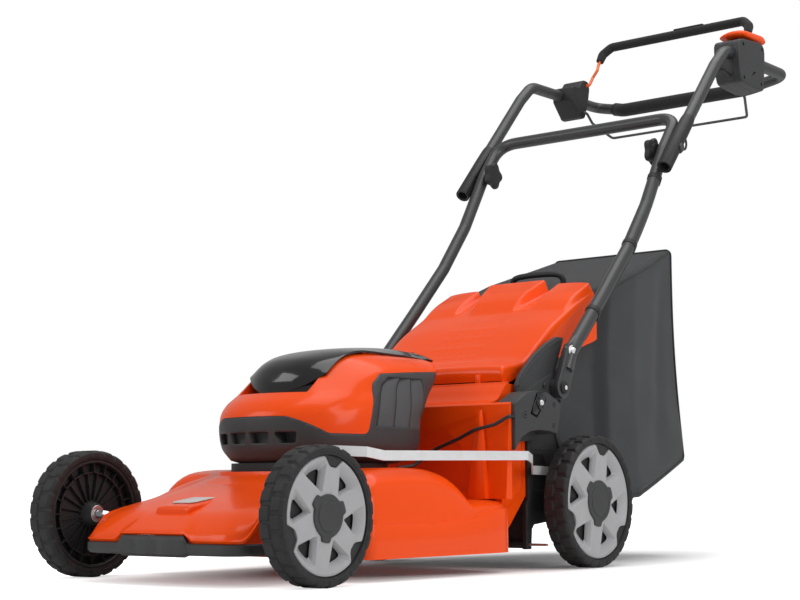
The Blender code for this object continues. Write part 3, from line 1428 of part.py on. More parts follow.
def upper_cable():
    """Down the back of the left upper tube from the switch box."""
    x = UPPER_TUBE_X - 0.0035
    route = [(x, 1.3080, 1.0000), (x, 1.2780, 1.0080), (x, 1.2484, 0.9978)]
    route += [(x, 1.1134, 0.8468), (x, 1.0491, 0.7745)]
    return tube(bend(route, 0.020, 2), CABLE_RADIUS, 8)


def make_cables():
    settle(chassis_cable(), "cable_chassis", "black_plastic")
    settle(lower_cable(), "cable_lower", "black_plastic", "lower_handle")
    settle(upper_cable(), "cable_upper", "black_plastic", "upper_handle")


def make_handle():
    settle(lower_tube(), "lower_tube", "tube_paint", "lower_handle")
    settle(upper_tube(), "upper_tube", "tube_paint", "upper_handle")
    settle(rear_grip(), "rear_grip", "foam_grip", "upper_handle")
    settle(control_box(), "control_box", "black_plastic", "upper_handle")
    settle(handle_clamp(), "handle_clamp", "black_plastic", "upper_handle")
    settle(start_lever(), "start_lever", "orange_plastic", "upper_handle")
    settle(start_wire(), "start_wire", "orange_paint", "start_bail")
    settle(start_cover(), "start_cover", "foam_grip", "start_bail")
    settle(drive_wire(), "drive_wire", "dark_steel", "drive_bail")
    for side, label in ((1, "left"), (-1, "right")):
        settle(pivot_pin(side), "pivot_pin_" + label, "bright_steel")
        settle(clamp_bolt(side), "clamp_bolt_" + label, "bright_steel", "lower_handle")
        settle(knob(side), "knob_" + label, "black_plastic", "knob_" + label)


def main():
    global PARTS, CUTTERS
    clear_scene()
    PARTS = new_collection("lawn_mower")
    CUTTERS = new_collection("cutters")
    make_anchors()
    make_wheels()
    make_axles()
    make_deck()
    make_drive()
    make_housing()
    make_rear()
    make_bag()
    make_handle()
    make_cables()


main()
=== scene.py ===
"""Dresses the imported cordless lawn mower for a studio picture.

Every position is first given from the front wheels' axle and above the ground, in metres,
as in the part's source, and `spot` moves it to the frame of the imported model.
"""

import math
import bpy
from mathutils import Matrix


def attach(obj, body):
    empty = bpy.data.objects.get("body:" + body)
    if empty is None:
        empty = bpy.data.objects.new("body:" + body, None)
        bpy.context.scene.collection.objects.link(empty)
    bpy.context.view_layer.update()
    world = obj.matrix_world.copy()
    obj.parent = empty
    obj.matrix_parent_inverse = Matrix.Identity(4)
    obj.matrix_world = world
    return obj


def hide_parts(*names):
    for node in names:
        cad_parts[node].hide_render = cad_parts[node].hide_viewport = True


bl_info = {
    "name": "Lawn Mower Dressing",
    "version": (1, 0, 0),
    "blender": (4, 5, 0),
    "location": "3D View > Sidebar > Mower",
    "description": "Builds the visible surfaces of a cordless lawn mower on its packed frame",
    "category": "Object",
}

import bmesh
import bpy
from bpy.props import FloatProperty, FloatVectorProperty, IntProperty, PointerProperty
from mathutils import Matrix, Vector

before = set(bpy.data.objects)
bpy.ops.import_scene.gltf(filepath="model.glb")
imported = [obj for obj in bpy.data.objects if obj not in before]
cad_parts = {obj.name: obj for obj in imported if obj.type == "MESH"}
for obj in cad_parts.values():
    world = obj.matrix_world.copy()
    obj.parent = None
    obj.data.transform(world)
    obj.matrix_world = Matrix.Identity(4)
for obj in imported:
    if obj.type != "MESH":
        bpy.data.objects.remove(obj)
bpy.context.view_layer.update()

MIDDLE_Y = 0.7375
SIDES = ((1, "left"), (-1, "right"))


def spot(x, y, z):
    """A point given from the front axle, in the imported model's frame."""
    return Vector((x, y - MIDDLE_Y, z))


# Sizes and colours that a user would change


def colour_property(name, description, *default):
    look = {"subtype": "COLOR", "size": 3, "min": 0.0, "max": 1.0}
    return FloatVectorProperty(name=name, description=description, default=default, **look)


def length_property(name, description, default):
    unit = {"subtype": "DISTANCE", "unit": "LENGTH"}
    return FloatProperty(name=name, description=description, default=default, **unit)


def count_property(name, description, default, least):
    return IntProperty(name=name, description=description, default=default, min=least)


def angle_property(name, description, degrees):
    turn = math.radians(degrees)
    return FloatProperty(name=name, description=description, default=turn, subtype="ANGLE")


class MOWER_PG_colours(bpy.types.PropertyGroup):
    """Base colours of the finishes, as linear RGB."""

    orange: colour_property("Orange", "Moulded covers and deck", 0.96, 0.082, 0.004)
    charcoal: colour_property("Charcoal", "Lower housing, bumper and hubcaps", 0.036, 0.037, 0.039)
    black: colour_property("Black", "Brackets, clamps, rims and knobs", 0.016, 0.016, 0.017)
    silver: colour_property("Silver", "Painted wheel trims", 0.4, 0.4, 0.41)
    rubber: colour_property("Rubber", "Tyres", 0.021, 0.021, 0.022)
    tube: colour_property("Tube", "Powder coat of the handle", 0.036, 0.037, 0.039)
    fabric: colour_property("Fabric", "Woven grass bag", 0.04, 0.042, 0.045)


class MOWER_PG_wheels(bpy.types.PropertyGroup):
    """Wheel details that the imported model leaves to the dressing."""

    tread_height: length_property("Tread height", "How far the blocks stand above the grooves", 0.0026)
    front_blocks: count_property("Front blocks", "Tread blocks on a front tyre", 24, 8)
    rear_blocks: count_property("Rear blocks", "Tread blocks on a rear tyre", 27, 8)
    inner_ribs: count_property("Inner ribs", "Radial ribs on a wheel's inner face", 20, 6)


class MOWER_PG_bag(bpy.types.PropertyGroup):
    """The grass bag's cloth and how it hangs."""

    sag: length_property("Sag", "How far the side panels sink between the frame wires", 0.01)
    thread: length_property("Thread", "Distance between neighbouring threads of the weave", 0.0024)
    cloth: length_property("Cloth", "Thickness of the fabric", 0.0016)


class MOWER_PG_camera(bpy.types.PropertyGroup):
    """The photograph's viewpoint."""

    lens: FloatProperty(name="Lens", description="Focal length", default=72.0, unit="CAMERA")
    azimuth: angle_property("Azimuth", "Angle round the mower from its nose", 38.627)
    pitch: angle_property("Pitch", "How far the camera looks up", 6.721)
    roll: angle_property("Roll", "How far the camera leans", -0.182)


def settings():
    """The scene's own property groups."""
    scene = bpy.context.scene
    return scene.mower_colours, scene.mower_wheels, scene.mower_bag, scene.mower_camera
# Shader maths and finishes


class Value:
    """A number on a shader socket. Arithmetic on it adds Math nodes."""

    def __init__(self, tree, socket):
        self.tree = tree
        self.socket = socket

    def work(self, operation, *terms):
        node = self.tree.nodes.new("ShaderNodeMath")
        node.operation = operation
        for slot, term in zip(node.inputs, terms):
            if isinstance(term, Value):
                self.tree.links.new(term.socket, slot)
            else:
                slot.default_value = term
        return Value(self.tree, node.outputs[0])

    def __add__(self, other):
        return self.work("ADD", self, other)

    def __radd__(self, other):
        return self.work("ADD", other, self)

    def __sub__(self, other):
        return self.work("SUBTRACT", self, other)

    def __rsub__(self, other):
        return self.work("SUBTRACT", other, self)

    def __mul__(self, other):
        return self.work("MULTIPLY", self, other)

    def sine(self):
        return self.work("SINE", self)

    def absolute(self):
        return self.work("ABSOLUTE", self)

    def at_least(self, other):
        return self.work("MAXIMUM", self, other)


class Finish:
    """One material with a Principled shader at its end."""

    def __init__(self, name, fixed):
        self.material = bpy.data.materials.new(name)
        self.material.use_nodes = True
        self.tree = self.material.node_tree
        self.shader = self.tree.nodes["Principled BSDF"]
        for socket, value in fixed.items():
            self.shader.inputs[socket].default_value = value
        place = self.add("ShaderNodeTexCoord")
        self.place = Value(self.tree, place.outputs["Object"])
        self.facing = Value(self.tree, place.outputs["Normal"])

    def add(self, kind, setup=None, values=None):
        """A node of one kind, its own settings first and then its sockets' values or links."""
        node = self.tree.nodes.new(kind)
        for key, value in (setup or {}).items():
            setattr(node, key, value)
        for key, value in (values or {}).items():
            if isinstance(value, Value):
                self.tree.links.new(value.socket, node.inputs[key])
            else:
                node.inputs[key].default_value = value
        return node

    def read(self, kind, output, setup=None, values=None):
        """One output of a new node."""
        return Value(self.tree, self.add(kind, setup, values).outputs[output])

    def noise(self, scale, detail=3.0, vector=None):
        inputs = {"Vector": vector or self.place, "Scale": scale, "Detail": detail}
        return self.read("ShaderNodeTexNoise", "Fac", None, inputs)

    def cells(self, scale, output="Distance"):
        """A pattern of round cells."""
        return self.read("ShaderNodeTexVoronoi", output, None, {"Vector": self.place, "Scale": scale})

    def stretched(self, factors):
        """The place in the object with each axis scaled by its own factor."""
        inputs = {0: self.place, 1: factors}
        return self.read("ShaderNodeVectorMath", "Vector", {"operation": "MULTIPLY"}, inputs)

    def axes(self, vector):
        node = self.add("ShaderNodeSeparateXYZ", None, {0: vector})
        return [Value(self.tree, socket) for socket in node.outputs]

    def step(self, value, low, high):
        """0 below low and 1 above high, with a smooth rise between."""
        inputs = {"Value": value, "From Min": low, "From Max": high}
        return self.read("ShaderNodeMapRange", "Result", {"interpolation_type": "SMOOTHSTEP"}, inputs)

    def blend(self, factor, first, second):
        """A colour between two colours."""
        inputs = {0: factor, 6: first, 7: second}
        return self.read("ShaderNodeMix", 2, {"data_type": "RGBA"}, inputs)

    def wire(self, socket, value):
        self.tree.links.new(value.socket, self.shader.inputs[socket])

    def tone(self, factor, colour, dark, light):
        """A base colour between a darker and a lighter shade of it."""
        self.wire("Base Color", self.blend(factor, shade(colour, dark), shade(colour, light)))

    def surface(self, roughness, height, distance):
        """The roughness, and a relief of this height at full value."""
        self.wire("Roughness", roughness)
        inputs = {"Height": height, "Distance": distance, "Strength": 1.0}
        self.wire("Normal", self.read("ShaderNodeBump", "Normal", None, inputs))
        return self.material


def shade(colour, factor):
    return (*(min(1.0, part * factor) for part in colour), 1.0)


def glossy_moulding(name, colour):
    """Shiny moulded plastic: faint flow marks in its colour and an orange-peel surface."""
    finish = Finish(name, {"Specular IOR Level": 0.18, "Coat Weight": 0.13, "Coat Roughness": 0.03})
    flow = finish.noise(7.0, 2.0, finish.stretched((1.0, 0.45, 1.6)))
    speck = finish.noise(900.0, 1.0)
    finish.tone(flow * 0.75 + speck * 0.25, colour, 0.93, 1.05)
    peel = finish.noise(260.0, 1.0) + speck * 0.3
    return finish.surface(0.2 + finish.noise(38.0) * 0.09, peel, 0.00006)


def grained_plastic(name, colour, roughness=0.46, grain=1500.0, depth=0.00012):
    """Matt moulded plastic with a spark-eroded grain and slightly paler raised spots."""
    finish = Finish(name, {"Specular IOR Level": 0.45})
    cell = finish.cells(grain)
    cloud = finish.noise(22.0, 4.0)
    finish.tone(cell * 0.5 + cloud * 0.5, colour, 0.8, 1.25)
    return finish.surface(roughness + cloud * 0.12, cell + finish.noise(420.0) * 0.5, depth)


def polished_black(name):
    """Piano-black plastic with hairline polishing marks."""
    finish = Finish(name, {"Specular IOR Level": 0.4, "Coat Weight": 0.3, "Coat Roughness": 0.03})
    haze = finish.noise(16.0, 3.0)
    marks = finish.noise(420.0, 1.0, finish.stretched((1.0, 0.06, 1.0)))
    finish.wire("Base Color", finish.blend(haze, (0.006, 0.006, 0.007, 1.0), (0.013, 0.013, 0.014, 1.0)))
    return finish.surface(0.1 + marks * 0.07, marks, 0.00001)


def silver_paint(name, colour):
    """Satin silver paint with fine flake."""
    finish = Finish(name, {"Specular IOR Level": 0.5, "Coat Weight": 0.15, "Coat Roughness": 0.25})
    flake = finish.axes(finish.cells(2600.0, "Color"))[0]
    finish.tone(flake * 0.6 + finish.noise(30.0, 3.0) * 0.4, colour, 0.86, 1.14)
    return finish.surface(0.36 + flake * 0.14, flake * 0.5 + finish.noise(500.0), 0.00005)


def tyre_rubber(name, colour):
    """Rubber with a mould skin and dry dust on what is rubbed."""
    finish = Finish(name, {"Specular IOR Level": 0.35})
    dust = finish.step(finish.noise(60.0, 5.0), 0.45, 0.8)
    skin = finish.noise(1100.0, 2.0)
    finish.tone(dust * 0.5 + skin * 0.2, colour, 0.85, 1.9)
    return finish.surface(0.58 + dust * 0.22, skin + finish.noise(240.0) * 0.8, 0.00014)


def foam(name, colour):
    """Closed-cell foam with open pores at its skin."""
    finish = Finish(name, {"Specular IOR Level": 0.3, "Sheen Weight": 0.12})
    pore = finish.cells(750.0)
    cloud = finish.noise(45.0, 3.0)
    finish.tone(pore * 0.6 + cloud * 0.4, colour, 0.7, 1.5)
    return finish.surface(0.72 + cloud * 0.18, pore, 0.00035)


def powder_coat(name, colour, roughness=0.34):
    """Baked powder paint on steel, with its fine rippled skin."""
    finish = Finish(name, {"Specular IOR Level": 0.5, "Coat Weight": 0.2, "Coat Roughness": 0.2})
    ripple = finish.noise(520.0, 2.0)
    finish.tone(ripple * 0.4 + finish.noise(14.0, 3.0) * 0.6, colour, 0.85, 1.2)
    return finish.surface(roughness + ripple * 0.12, ripple, 0.00008)


def brushed_zinc(name, colour, along=(1.0, 0.03, 1.0), roughness=0.24, metal=1.0):
    """Zinc-plated steel with drawing marks along the bar."""
    finish = Finish(name, {"Metallic": metal})
    lines = finish.noise(1500.0, 2.0, finish.stretched(along))
    bloom = finish.noise(55.0, 4.0)
    finish.tone(lines * 0.35 + bloom * 0.65, colour, 0.86, 1.08)
    return finish.surface(roughness + lines * 0.12 + bloom * 0.06, lines, 0.00004)


def cast_alloy(name):
    """Sand-textured cast alloy."""
    finish = Finish(name, {"Metallic": 1.0})
    sand = finish.noise(800.0, 3.0)
    finish.wire("Base Color", finish.blend(sand, (0.3, 0.3, 0.31, 1.0), (0.5, 0.5, 0.51, 1.0)))
    return finish.surface(0.38 + sand * 0.2, sand, 0.00015)


def woven(name, colour, thread):
    """Coarse woven cloth: crossing threads that stand up in turn, chosen by where a panel faces."""
    finish = Finish(name, {"Specular IOR Level": 0.25, "Sheen Weight": 0.18, "Sheen Roughness": 0.5})
    turn = 2 * math.pi / thread
    wave_x, wave_y, wave_z = ((part * turn).sine() for part in finish.axes(finish.place))
    across, _, upward = (part.absolute() for part in finish.axes(finish.facing))
    side = finish.step(across, 0.55, 0.75)
    top = finish.step(upward, 0.55, 0.75) * (1 - side)
    rear = (1 - side) * (1 - top)
    weave = side * (wave_y * wave_z) + top * (wave_x * wave_y) + rear * (wave_x * wave_z)
    fibre = finish.noise(900.0, 2.0)
    tone = weave * 0.22 + fibre * 0.28 + finish.noise(9.0, 4.0) * 0.4
    finish.tone(tone.at_least(0.0), colour, 0.62, 1.65)
    return finish.surface(0.78 + fibre * 0.15, weave + fibre * 0.6, thread * 0.16)


FINISHES = {}


def make_finishes(colours, thread):
    """Every material of the mower, by the name that a piece asks for."""
    # Painted light: the louvres take the housing's charcoal painted 1.8 times lighter, for the light their
    # slats catch.
    panel = shade(colours.charcoal, 1.8)[:3]
    hem = shade(colours.fabric, 0.72)[:3]
    FINISHES.update({
        "orange": glossy_moulding("moulded_orange", colours.orange),
        "charcoal": grained_plastic("grained_charcoal", colours.charcoal, 0.42),
        "louvre_painted_light": grained_plastic("louvre_charcoal_painted_lighter", panel, 0.4),
        "black": grained_plastic("grained_black", colours.black, 0.44),
        "gloss_black": polished_black("polished_black"),
        "silver": silver_paint("silver_paint", colours.silver),
        "plate": silver_paint("pale_plate", (0.62, 0.6, 0.58)),
        "rubber": tyre_rubber("tyre_rubber", colours.rubber),
        "foam": foam("grip_foam", colours.black),
        "tube": powder_coat("handle_powder_coat", colours.tube),
        "bail_orange": powder_coat("orange_powder_coat", (0.9, 0.14, 0.02), 0.3),
        # Painted reflection: this zinc is only 0.45 metallic on a near-white base, so its diffuse white
        # stands in for the bright studio that polished zinc would mirror; the pale zinc colour itself is
        # real.
        "zinc_with_painted_reflection": brushed_zinc("zinc_bar_painted_reflection", (0.92, 0.92, 0.93), metal=0.45),
        "rod_zinc": brushed_zinc("zinc_rod", (0.72, 0.72, 0.73), (0.03, 1.0, 1.0)),
        "dark_steel": powder_coat("black_steel", (0.035, 0.035, 0.037), 0.28),
        "blade_steel": brushed_zinc("ground_blade", (0.3, 0.3, 0.32), (0.04, 1.0, 1.0), 0.34),
        "alloy": cast_alloy("cast_alloy"),
        "cloth": woven("woven_bag", colours.fabric, thread),
        "binding": woven("bag_binding", hem, thread * 0.6),
        "thread": foam("seam_thread", (0.085, 0.087, 0.09)),
        "cable": grained_plastic("cable_jacket", (0.013, 0.013, 0.014), 0.38, 2200.0, 0.00006),
    })


class MOWER_OT_finishes(bpy.types.Operator):
    """Make the mower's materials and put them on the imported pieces"""

    bl_idname = "mower.finishes"
    bl_label = "Make Finishes"

    def execute(self, context):
        colours, _, bag, _ = settings()
        make_finishes(colours, bag.thread)
        for slot, nodes in NODES_BY_FINISH.items():
            for node in nodes:
                dress(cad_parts[node], slot)
        return {"FINISHED"}


def on_both(piece):
    return [f"{piece}_{label}" for _, label in SIDES]


def on_wheels(piece):
    return on_both(piece + "_front") + on_both(piece + "_rear")


NODES_BY_FINISH = {
    "rubber": on_wheels("tyre"),
    "silver": on_wheels("trim"),
    "orange": ["deck_shell", "deck_baffle", "housing_cover", "rear_tower", "rear_hood", "start_lever"],
    "charcoal": [*on_wheels("hubcap"), "front_bumper", "housing_base", *on_both("lock_lever")],
    "black": [
        *on_wheels("rim"), *on_both("side_carrier"), *on_both("fold_bracket"), *on_both("knob"),
        "housing_neck", "battery_pack", "rear_flap", "bag_frame", "bag_handle", "control_box", "handle_clamp",
    ],
    "gloss_black": ["battery_lid"],
    "cable": ["cable_chassis", "cable_lower", "cable_upper"],
    "rod_zinc": [
        "front_axle_rod", "rear_axle_rod", "guard_rod", *on_both("pivot_pin"), *on_both("clamp_bolt"),
    ],
    "zinc_with_painted_reflection": ["height_link_bar"],
    "alloy": ["drive_motor"],
    "blade_steel": ["blade"],
    "dark_steel": ["drive_wire"],
    "cloth": ["grass_bag"],
    "tube": ["lower_tube", "upper_tube"],
    "foam": ["rear_grip", "start_cover"],
    "bail_orange": ["start_wire"],
}


def dress(obj, name):
    """Puts one finish on the whole of a piece."""
    material = FINISHES[name]
    if not obj.material_slots:
        obj.data.materials.append(material)
    for slot in obj.material_slots:
        slot.material = material
    return obj


# Mesh tools


def add_object(name, data):
    obj = bpy.data.objects.new(name, data)
    bpy.context.scene.collection.objects.link(obj)
    return obj


def as_object(bm, name):
    """Turns a bmesh into a smooth object with its faces looking out."""
    bmesh.ops.recalc_face_normals(bm, faces=bm.faces)
    mesh = bpy.data.meshes.new(name)
    bm.to_mesh(mesh)
    bm.free()
    mesh.shade_smooth()
    return add_object(name, mesh)


def applied(obj):
    """Works a piece's modifiers into its mesh."""
    bpy.context.view_layer.update()
    evaluated = obj.evaluated_get(bpy.context.evaluated_depsgraph_get())
    mesh = bpy.data.meshes.new_from_object(evaluated)
    old = obj.data
    obj.modifiers.clear()
    obj.data = mesh
    bpy.data.meshes.remove(old)
    return obj


def sharpen(obj, degrees=38.0):
    """Keeps edges sharper than this as hard edges."""
    obj.data.shade_smooth()
    obj.data.set_sharp_from_angle(angle=math.radians(degrees))
    return obj


def ready(obj, look, body, nodes=()):
    """Gives a piece its finish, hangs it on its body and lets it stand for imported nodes."""
    dress(obj, look)
    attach(obj, body)
    if nodes:
        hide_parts(*nodes)
        obj.name = nodes[0] + "_finished"
    return obj


def turns(count):
    """Evenly spread angles of one full turn."""
    return [2 * math.pi * k / count for k in range(count)]


def loft(name, rings, closed=False, caps=True, wrap=True):
    """A surface through rings of points. If closed, the last ring joins the first."""
    bm = bmesh.new()
    loops = [[bm.verts.new(point) for point in ring] for ring in rings]
    count = len(loops[0])
    pairs = list(zip(loops, loops[1:]))
    if closed:
        pairs.append((loops[-1], loops[0]))
    for low, high in pairs:
        for i in range(count if wrap else count - 1):
            j = (i + 1) % count
            bm.faces.new((low[i], low[j], high[j], high[i]))
    if caps and not closed:
        bm.faces.new(loops[0])
        bm.faces.new(loops[-1])
    return as_object(bm, name)


def disc_stack(name, sections, steps, place):
    """A capped solid of round sections; place turns (radius, angle, height) into a point."""
    return loft(name, [[place(radius, a, height) for a in turns(steps)] for radius, height in sections])


def rounded(name, size, centre, bevel, segments=3):
    """A box with rounded edges."""
    bm = bmesh.new()
    bmesh.ops.create_cube(bm, size=1.0)
    bmesh.ops.scale(bm, vec=size, verts=bm.verts)
    bmesh.ops.translate(bm, vec=centre, verts=bm.verts)
    return edge_round(as_object(bm, name), bevel, segments)


def edge_round(obj, width, segments=3, degrees=30.0):
    """Rounds the edges sharper than this."""
    bevel = obj.modifiers.new("edge", "BEVEL")
    bevel.width = width
    bevel.segments = segments
    bevel.limit_method = "ANGLE"
    bevel.angle_limit = math.radians(degrees)
    bevel.harden_normals = False
    return applied(obj)


def smoothed(obj, levels):
    """Catmull-Clark subdivision, worked in."""
    step = obj.modifiers.new("smooth", "SUBSURF")
    step.levels = levels
    step.render_levels = levels
    return applied(obj)


def walled(obj, thickness, even=False):
    """Gives a sheet a wall under its outer face."""
    wall = obj.modifiers.new("wall", "SOLIDIFY")
    wall.thickness = thickness
    wall.offset = -1.0
    wall.use_even_offset = even
    return applied(obj)


AXIS_ORDER = {
    "X": lambda u, v, w: (w, u, v),
    "Y": lambda u, v, w: (u, w, v),
    "Z": lambda u, v, w: (u, v, w),
}


def plate(name, outline, low, high, axis="X", bevel=0.0, segments=3):
    """A flat outline across one axis, pulled from low to high along it, with rounded edges."""
    order = AXIS_ORDER[axis]
    obj = loft(name, [[order(u, v, w) for u, v in outline] for w in (low, high)])
    if bevel:
        obj = edge_round(obj, bevel, segments)
    return sharpen(obj)


def merged(name, objects, degrees=38.0):
    """Joins pieces with the same finish into one mesh, without cutting them into each other."""
    bm = bmesh.new()
    for obj in objects:
        obj.data.transform(obj.matrix_basis)
        bm.from_mesh(obj.data)
        bpy.data.objects.remove(obj, do_unlink=True)
    mesh = bpy.data.meshes.new(name)
    bm.to_mesh(mesh)
    bm.free()
    return sharpen(add_object(name, mesh), degrees)


def carve(obj, tools, operation="DIFFERENCE"):
    """Cuts helper solids out of a piece, or keeps what lies in them, and removes them."""
    for tool in tools:
        step = obj.modifiers.new("carve", "BOOLEAN")
        step.operation = operation
        step.solver = "EXACT"
        step.object = tool
    applied(obj)
    for tool in tools:
        bpy.data.objects.remove(tool, do_unlink=True)
    return obj


def outward(obj):
    """Turns a closed solid's faces outward."""
    bm = bmesh.new()
    bm.from_mesh(obj.data)
    if bm.calc_volume(signed=True) < 0:
        bmesh.ops.reverse_faces(bm, faces=bm.faces)
        bm.to_mesh(obj.data)
    bm.free()
    return obj


def curve_points(points, per_span=8):
    """A smooth path through points, by Catmull-Rom."""
    points = [Vector(p) for p in points]
    path = []
    for i in range(len(points) - 1):
        before = points[max(i - 1, 0)]
        start, end = points[i], points[i + 1]
        after = points[min(i + 2, len(points) - 1)]
        for k in range(per_span):
            t = k / per_span
            line = 2 * start + (end - before) * t
            bend = (2 * before - 5 * start + 4 * end - after) * t**2
            path.append(0.5 * (line + bend + (3 * start - before - 3 * end + after) * t**3))
    path.append(points[-1])
    return path


def rounded_path(points, radius, steps=8):
    """A path with each inner corner turned into an arc."""
    points = [Vector(p) for p in points]
    path = [points[0]]
    for before, corner, after in zip(points, points[1:], points[2:]):
        back, ahead = before - corner, after - corner
        half = back.normalized().angle(ahead.normalized()) / 2
        if math.pi - 2 * half < 0.02:
            path.append(corner)
            continue
        reach = min(radius / math.tan(half), 0.45 * back.length, 0.45 * ahead.length)
        first = corner + back.normalized() * reach
        last = corner + ahead.normalized() * reach
        for i in range(steps + 1):
            t = i / steps
            path.append(first * (1 - t) ** 2 + corner * 2 * t * (1 - t) + last * t**2)
    path.append(points[-1])
    return path


def sweep(name, path, radius, sides=20, taper=None, flat=1.0):
    """A round bar along a path, with its section carried on without twist."""
    path = [Vector(p) for p in path]
    rings = []
    ahead = (path[1] - path[0]).normalized()
    across = ahead.orthogonal().normalized()
    for i, point in enumerate(path):
        now = (path[min(i + 1, len(path) - 1)] - path[max(i - 1, 0)]).normalized()
        across = (ahead.rotation_difference(now) @ across).normalized()
        ahead = now
        up = ahead.cross(across)
        reach = radius if taper is None else radius * taper(i / (len(path) - 1))
        ring = []
        for a in turns(sides):
            ring.append(point + across * (reach * math.cos(a)) + up * (reach * flat * math.sin(a)))
        rings.append(ring)
    return sharpen(loft(name, rings), 50.0)


def mirrored_path(side):
    """A path from the left end to the middle, carried on to its mirror image on the right."""
    return [Vector(p) for p in side] + [Vector((-p[0], p[1], p[2])) for p in reversed(side)]


def arc(centre, radius, start, end, steps):
    """Points along an arc, with the angles in degrees."""
    points = []
    for i in range(steps + 1):
        a = math.radians(start + (end - start) * i / steps)
        points.append((centre[0] + radius * math.cos(a), centre[1] + radius * math.sin(a)))
    return points


def squarish(angle, power):
    """Across and along parts of a superellipse of half size 1, at an angle from its rear."""
    s, c = math.sin(angle), math.cos(angle)
    scale = (abs(s) ** power + abs(c) ** power) ** (-1 / power)
    return s * scale, c * scale


def between(stations, at):
    """Value at a place between stations, which hold (place, value) pairs."""
    for (a, va), (b, vb) in zip(stations, stations[1:]):
        if at <= b:
            return va + (vb - va) * max(0.0, at - a) / (b - a)
    return stations[-1][1]


def eased(stations, at):
    """As between, but with no kink at the stations."""
    count = len(stations)
    for i in range(count - 1):
        (a, va), (b, vb) = stations[i], stations[i + 1]
        if at <= b:
            t = max(0.0, at - a) / (b - a)
            before = stations[max(i - 1, 0)]
            after = stations[min(i + 2, count - 1)]
            first = (vb - before[1]) / (b - before[0]) * (b - a)
            second = (after[1] - va) / (after[0] - a) * (b - a)
            start = va * (2 * t**3 - 3 * t**2 + 1) + first * (t**3 - 2 * t**2 + t)
            return start + vb * (3 * t**2 - 2 * t**3) + second * (t**3 - t**2)
    return stations[-1][1]


def column(rows, key, place=0):
    """(place, value) stations from two columns of a table."""
    return [(row[place], row[key]) for row in rows]


def shifted(outline):
    """A side outline given from the front axle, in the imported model's frame."""
    return [(y - MIDDLE_Y, z) for y, z in outline]


def placed(points):
    return [spot(*point) for point in points]


def axis_disc(name, centre, outward, sections, steps=24):
    """A turned solid about a line through centre; sections are (radius, height) pairs along outward."""
    centre = Vector(centre)
    outward = Vector(outward).normalized()
    across = outward.orthogonal().normalized()
    up = outward.cross(across)

    def place(radius, angle, height):
        ring = centre + across * (radius * math.cos(angle)) + up * (radius * math.sin(angle))
        return ring + outward * height

    return sharpen(disc_stack(name, sections, steps, place))


def side_disc(name, side, x, place, sections, steps=24):
    """A turned solid on one side of the mower, from a distance x from the middle outwards."""
    return axis_disc(name, spot(side * x, *place), (side, 0, 0), sections, steps)


def cross_bore(side, low, high, place, radius, steps=32):
    """A cutter bored along X between two distances from the middle."""
    return side_disc("bore", side, low, place, ((radius, 0.0), (radius, high - low)), steps)


def side_prism(name, outline, half):
    """A plate with a side outline, as far to the left as to the right."""
    return plate(name, shifted(outline), -half, half)


def sided(name, outline, side, near, far, bevel=0.0, segments=3):
    """A plate on one side of the mower with a side outline, between two distances from the middle."""
    low, high = sorted((side * near, side * far))
    return plate(name, shifted(outline), low, high, "X", bevel, segments)


def screw(name, centre, outward, radius=0.004):
    """A pan-head screw with a hexagon socket."""
    shares = ((1.0, 0.0), (1.0, 0.35), (0.82, 0.62), (0.5, 0.7))
    head = axis_disc(name, centre, outward, [(radius * r, radius * h) for r, h in shares])
    hollow = ((radius * 0.42, radius * 0.25), (radius * 0.42, radius))
    return sharpen(carve(head, [axis_disc("socket", centre, outward, hollow, 6)]))
# Wheels


WHEEL_X = 0.245
WHEEL_ROWS = (("front", 0.0, 0.1), ("rear", 0.718, 0.115))
TYRE_DEPTH = 0.0145
TRIM_GAP = 0.0012
TRIM_FACE = 0.0193
SPOKE_START = 20.5
LUG_START = 80.5
AXLE_BORE = 0.0066
TREAD_STEPS = 16
TREAD_PHASES = ((0.0, 1.0), (0.07, 0.0), (0.74, 0.0), (0.81, 1.0), (1.0, 1.0))
WASHER = ((0.0068, -0.0236), (0.0068, -0.0246), (0.0128, -0.0246), (0.0132, -0.0242), (0.0132, -0.0236))
HUB = (
    (AXLE_BORE, 0.004), (AXLE_BORE, -0.0235), (0.015, -0.0235), (0.0158, -0.0228),
    (0.0185, -0.012), (0.0205, -0.0095), (0.0225, -0.002),
)
LUG = ((0.835, -0.088), (0.835, 0.088), (0.9, 0.15), (1.006, 0.235), (1.006, -0.235), (0.9, -0.15))
NOTCH = (
    (0.815, -0.06), (0.815, 0.06), (0.84, 0.112), (0.9, 0.168), (0.965, 0.232), (1.08, 0.33),
    (1.08, -0.33), (0.965, -0.232), (0.9, -0.168), (0.84, -0.112),
)
POCKET_LEVELS = ((-0.1, 0.00105), (0.55, -0.00578), (1.08, -0.01134))
TRIM_SECTIONS = ((0.985, 0.0088), (1.0, 0.0096), (1.0, 0.0172), (0.988, 0.0187), (0.965, TRIM_FACE))
CAP_SECTIONS = (
    (1.0, 1.0, 0.0188), (1.0, 1.0, 0.0207), (0.972, 1.0, 0.0218), (0.93, 1.0, 0.0222), (0.8, 0.6, 0.0221),
    (0.76, 0.2, 0.0214), (0.72, 0.0, 0.0214), (0.69, 0.0, 0.0224), (0.5, 0.0, 0.0226), (0.1, 0.0, 0.0226),
)
CAP_LOBE = ((0.0, 1.0), (13.0, 1.0), (19.0, 0.12), (28.0, 0.0), (60.0, 0.0))


def wheel_place(side, y, z):
    """Turns a radius, an angle and an offset towards the wheel's outer face into a point."""

    def place(radius, angle, height):
        along = side * radius * math.cos(angle)
        return spot(side * (WHEEL_X + height), y + along, z + radius * math.sin(angle))

    return place


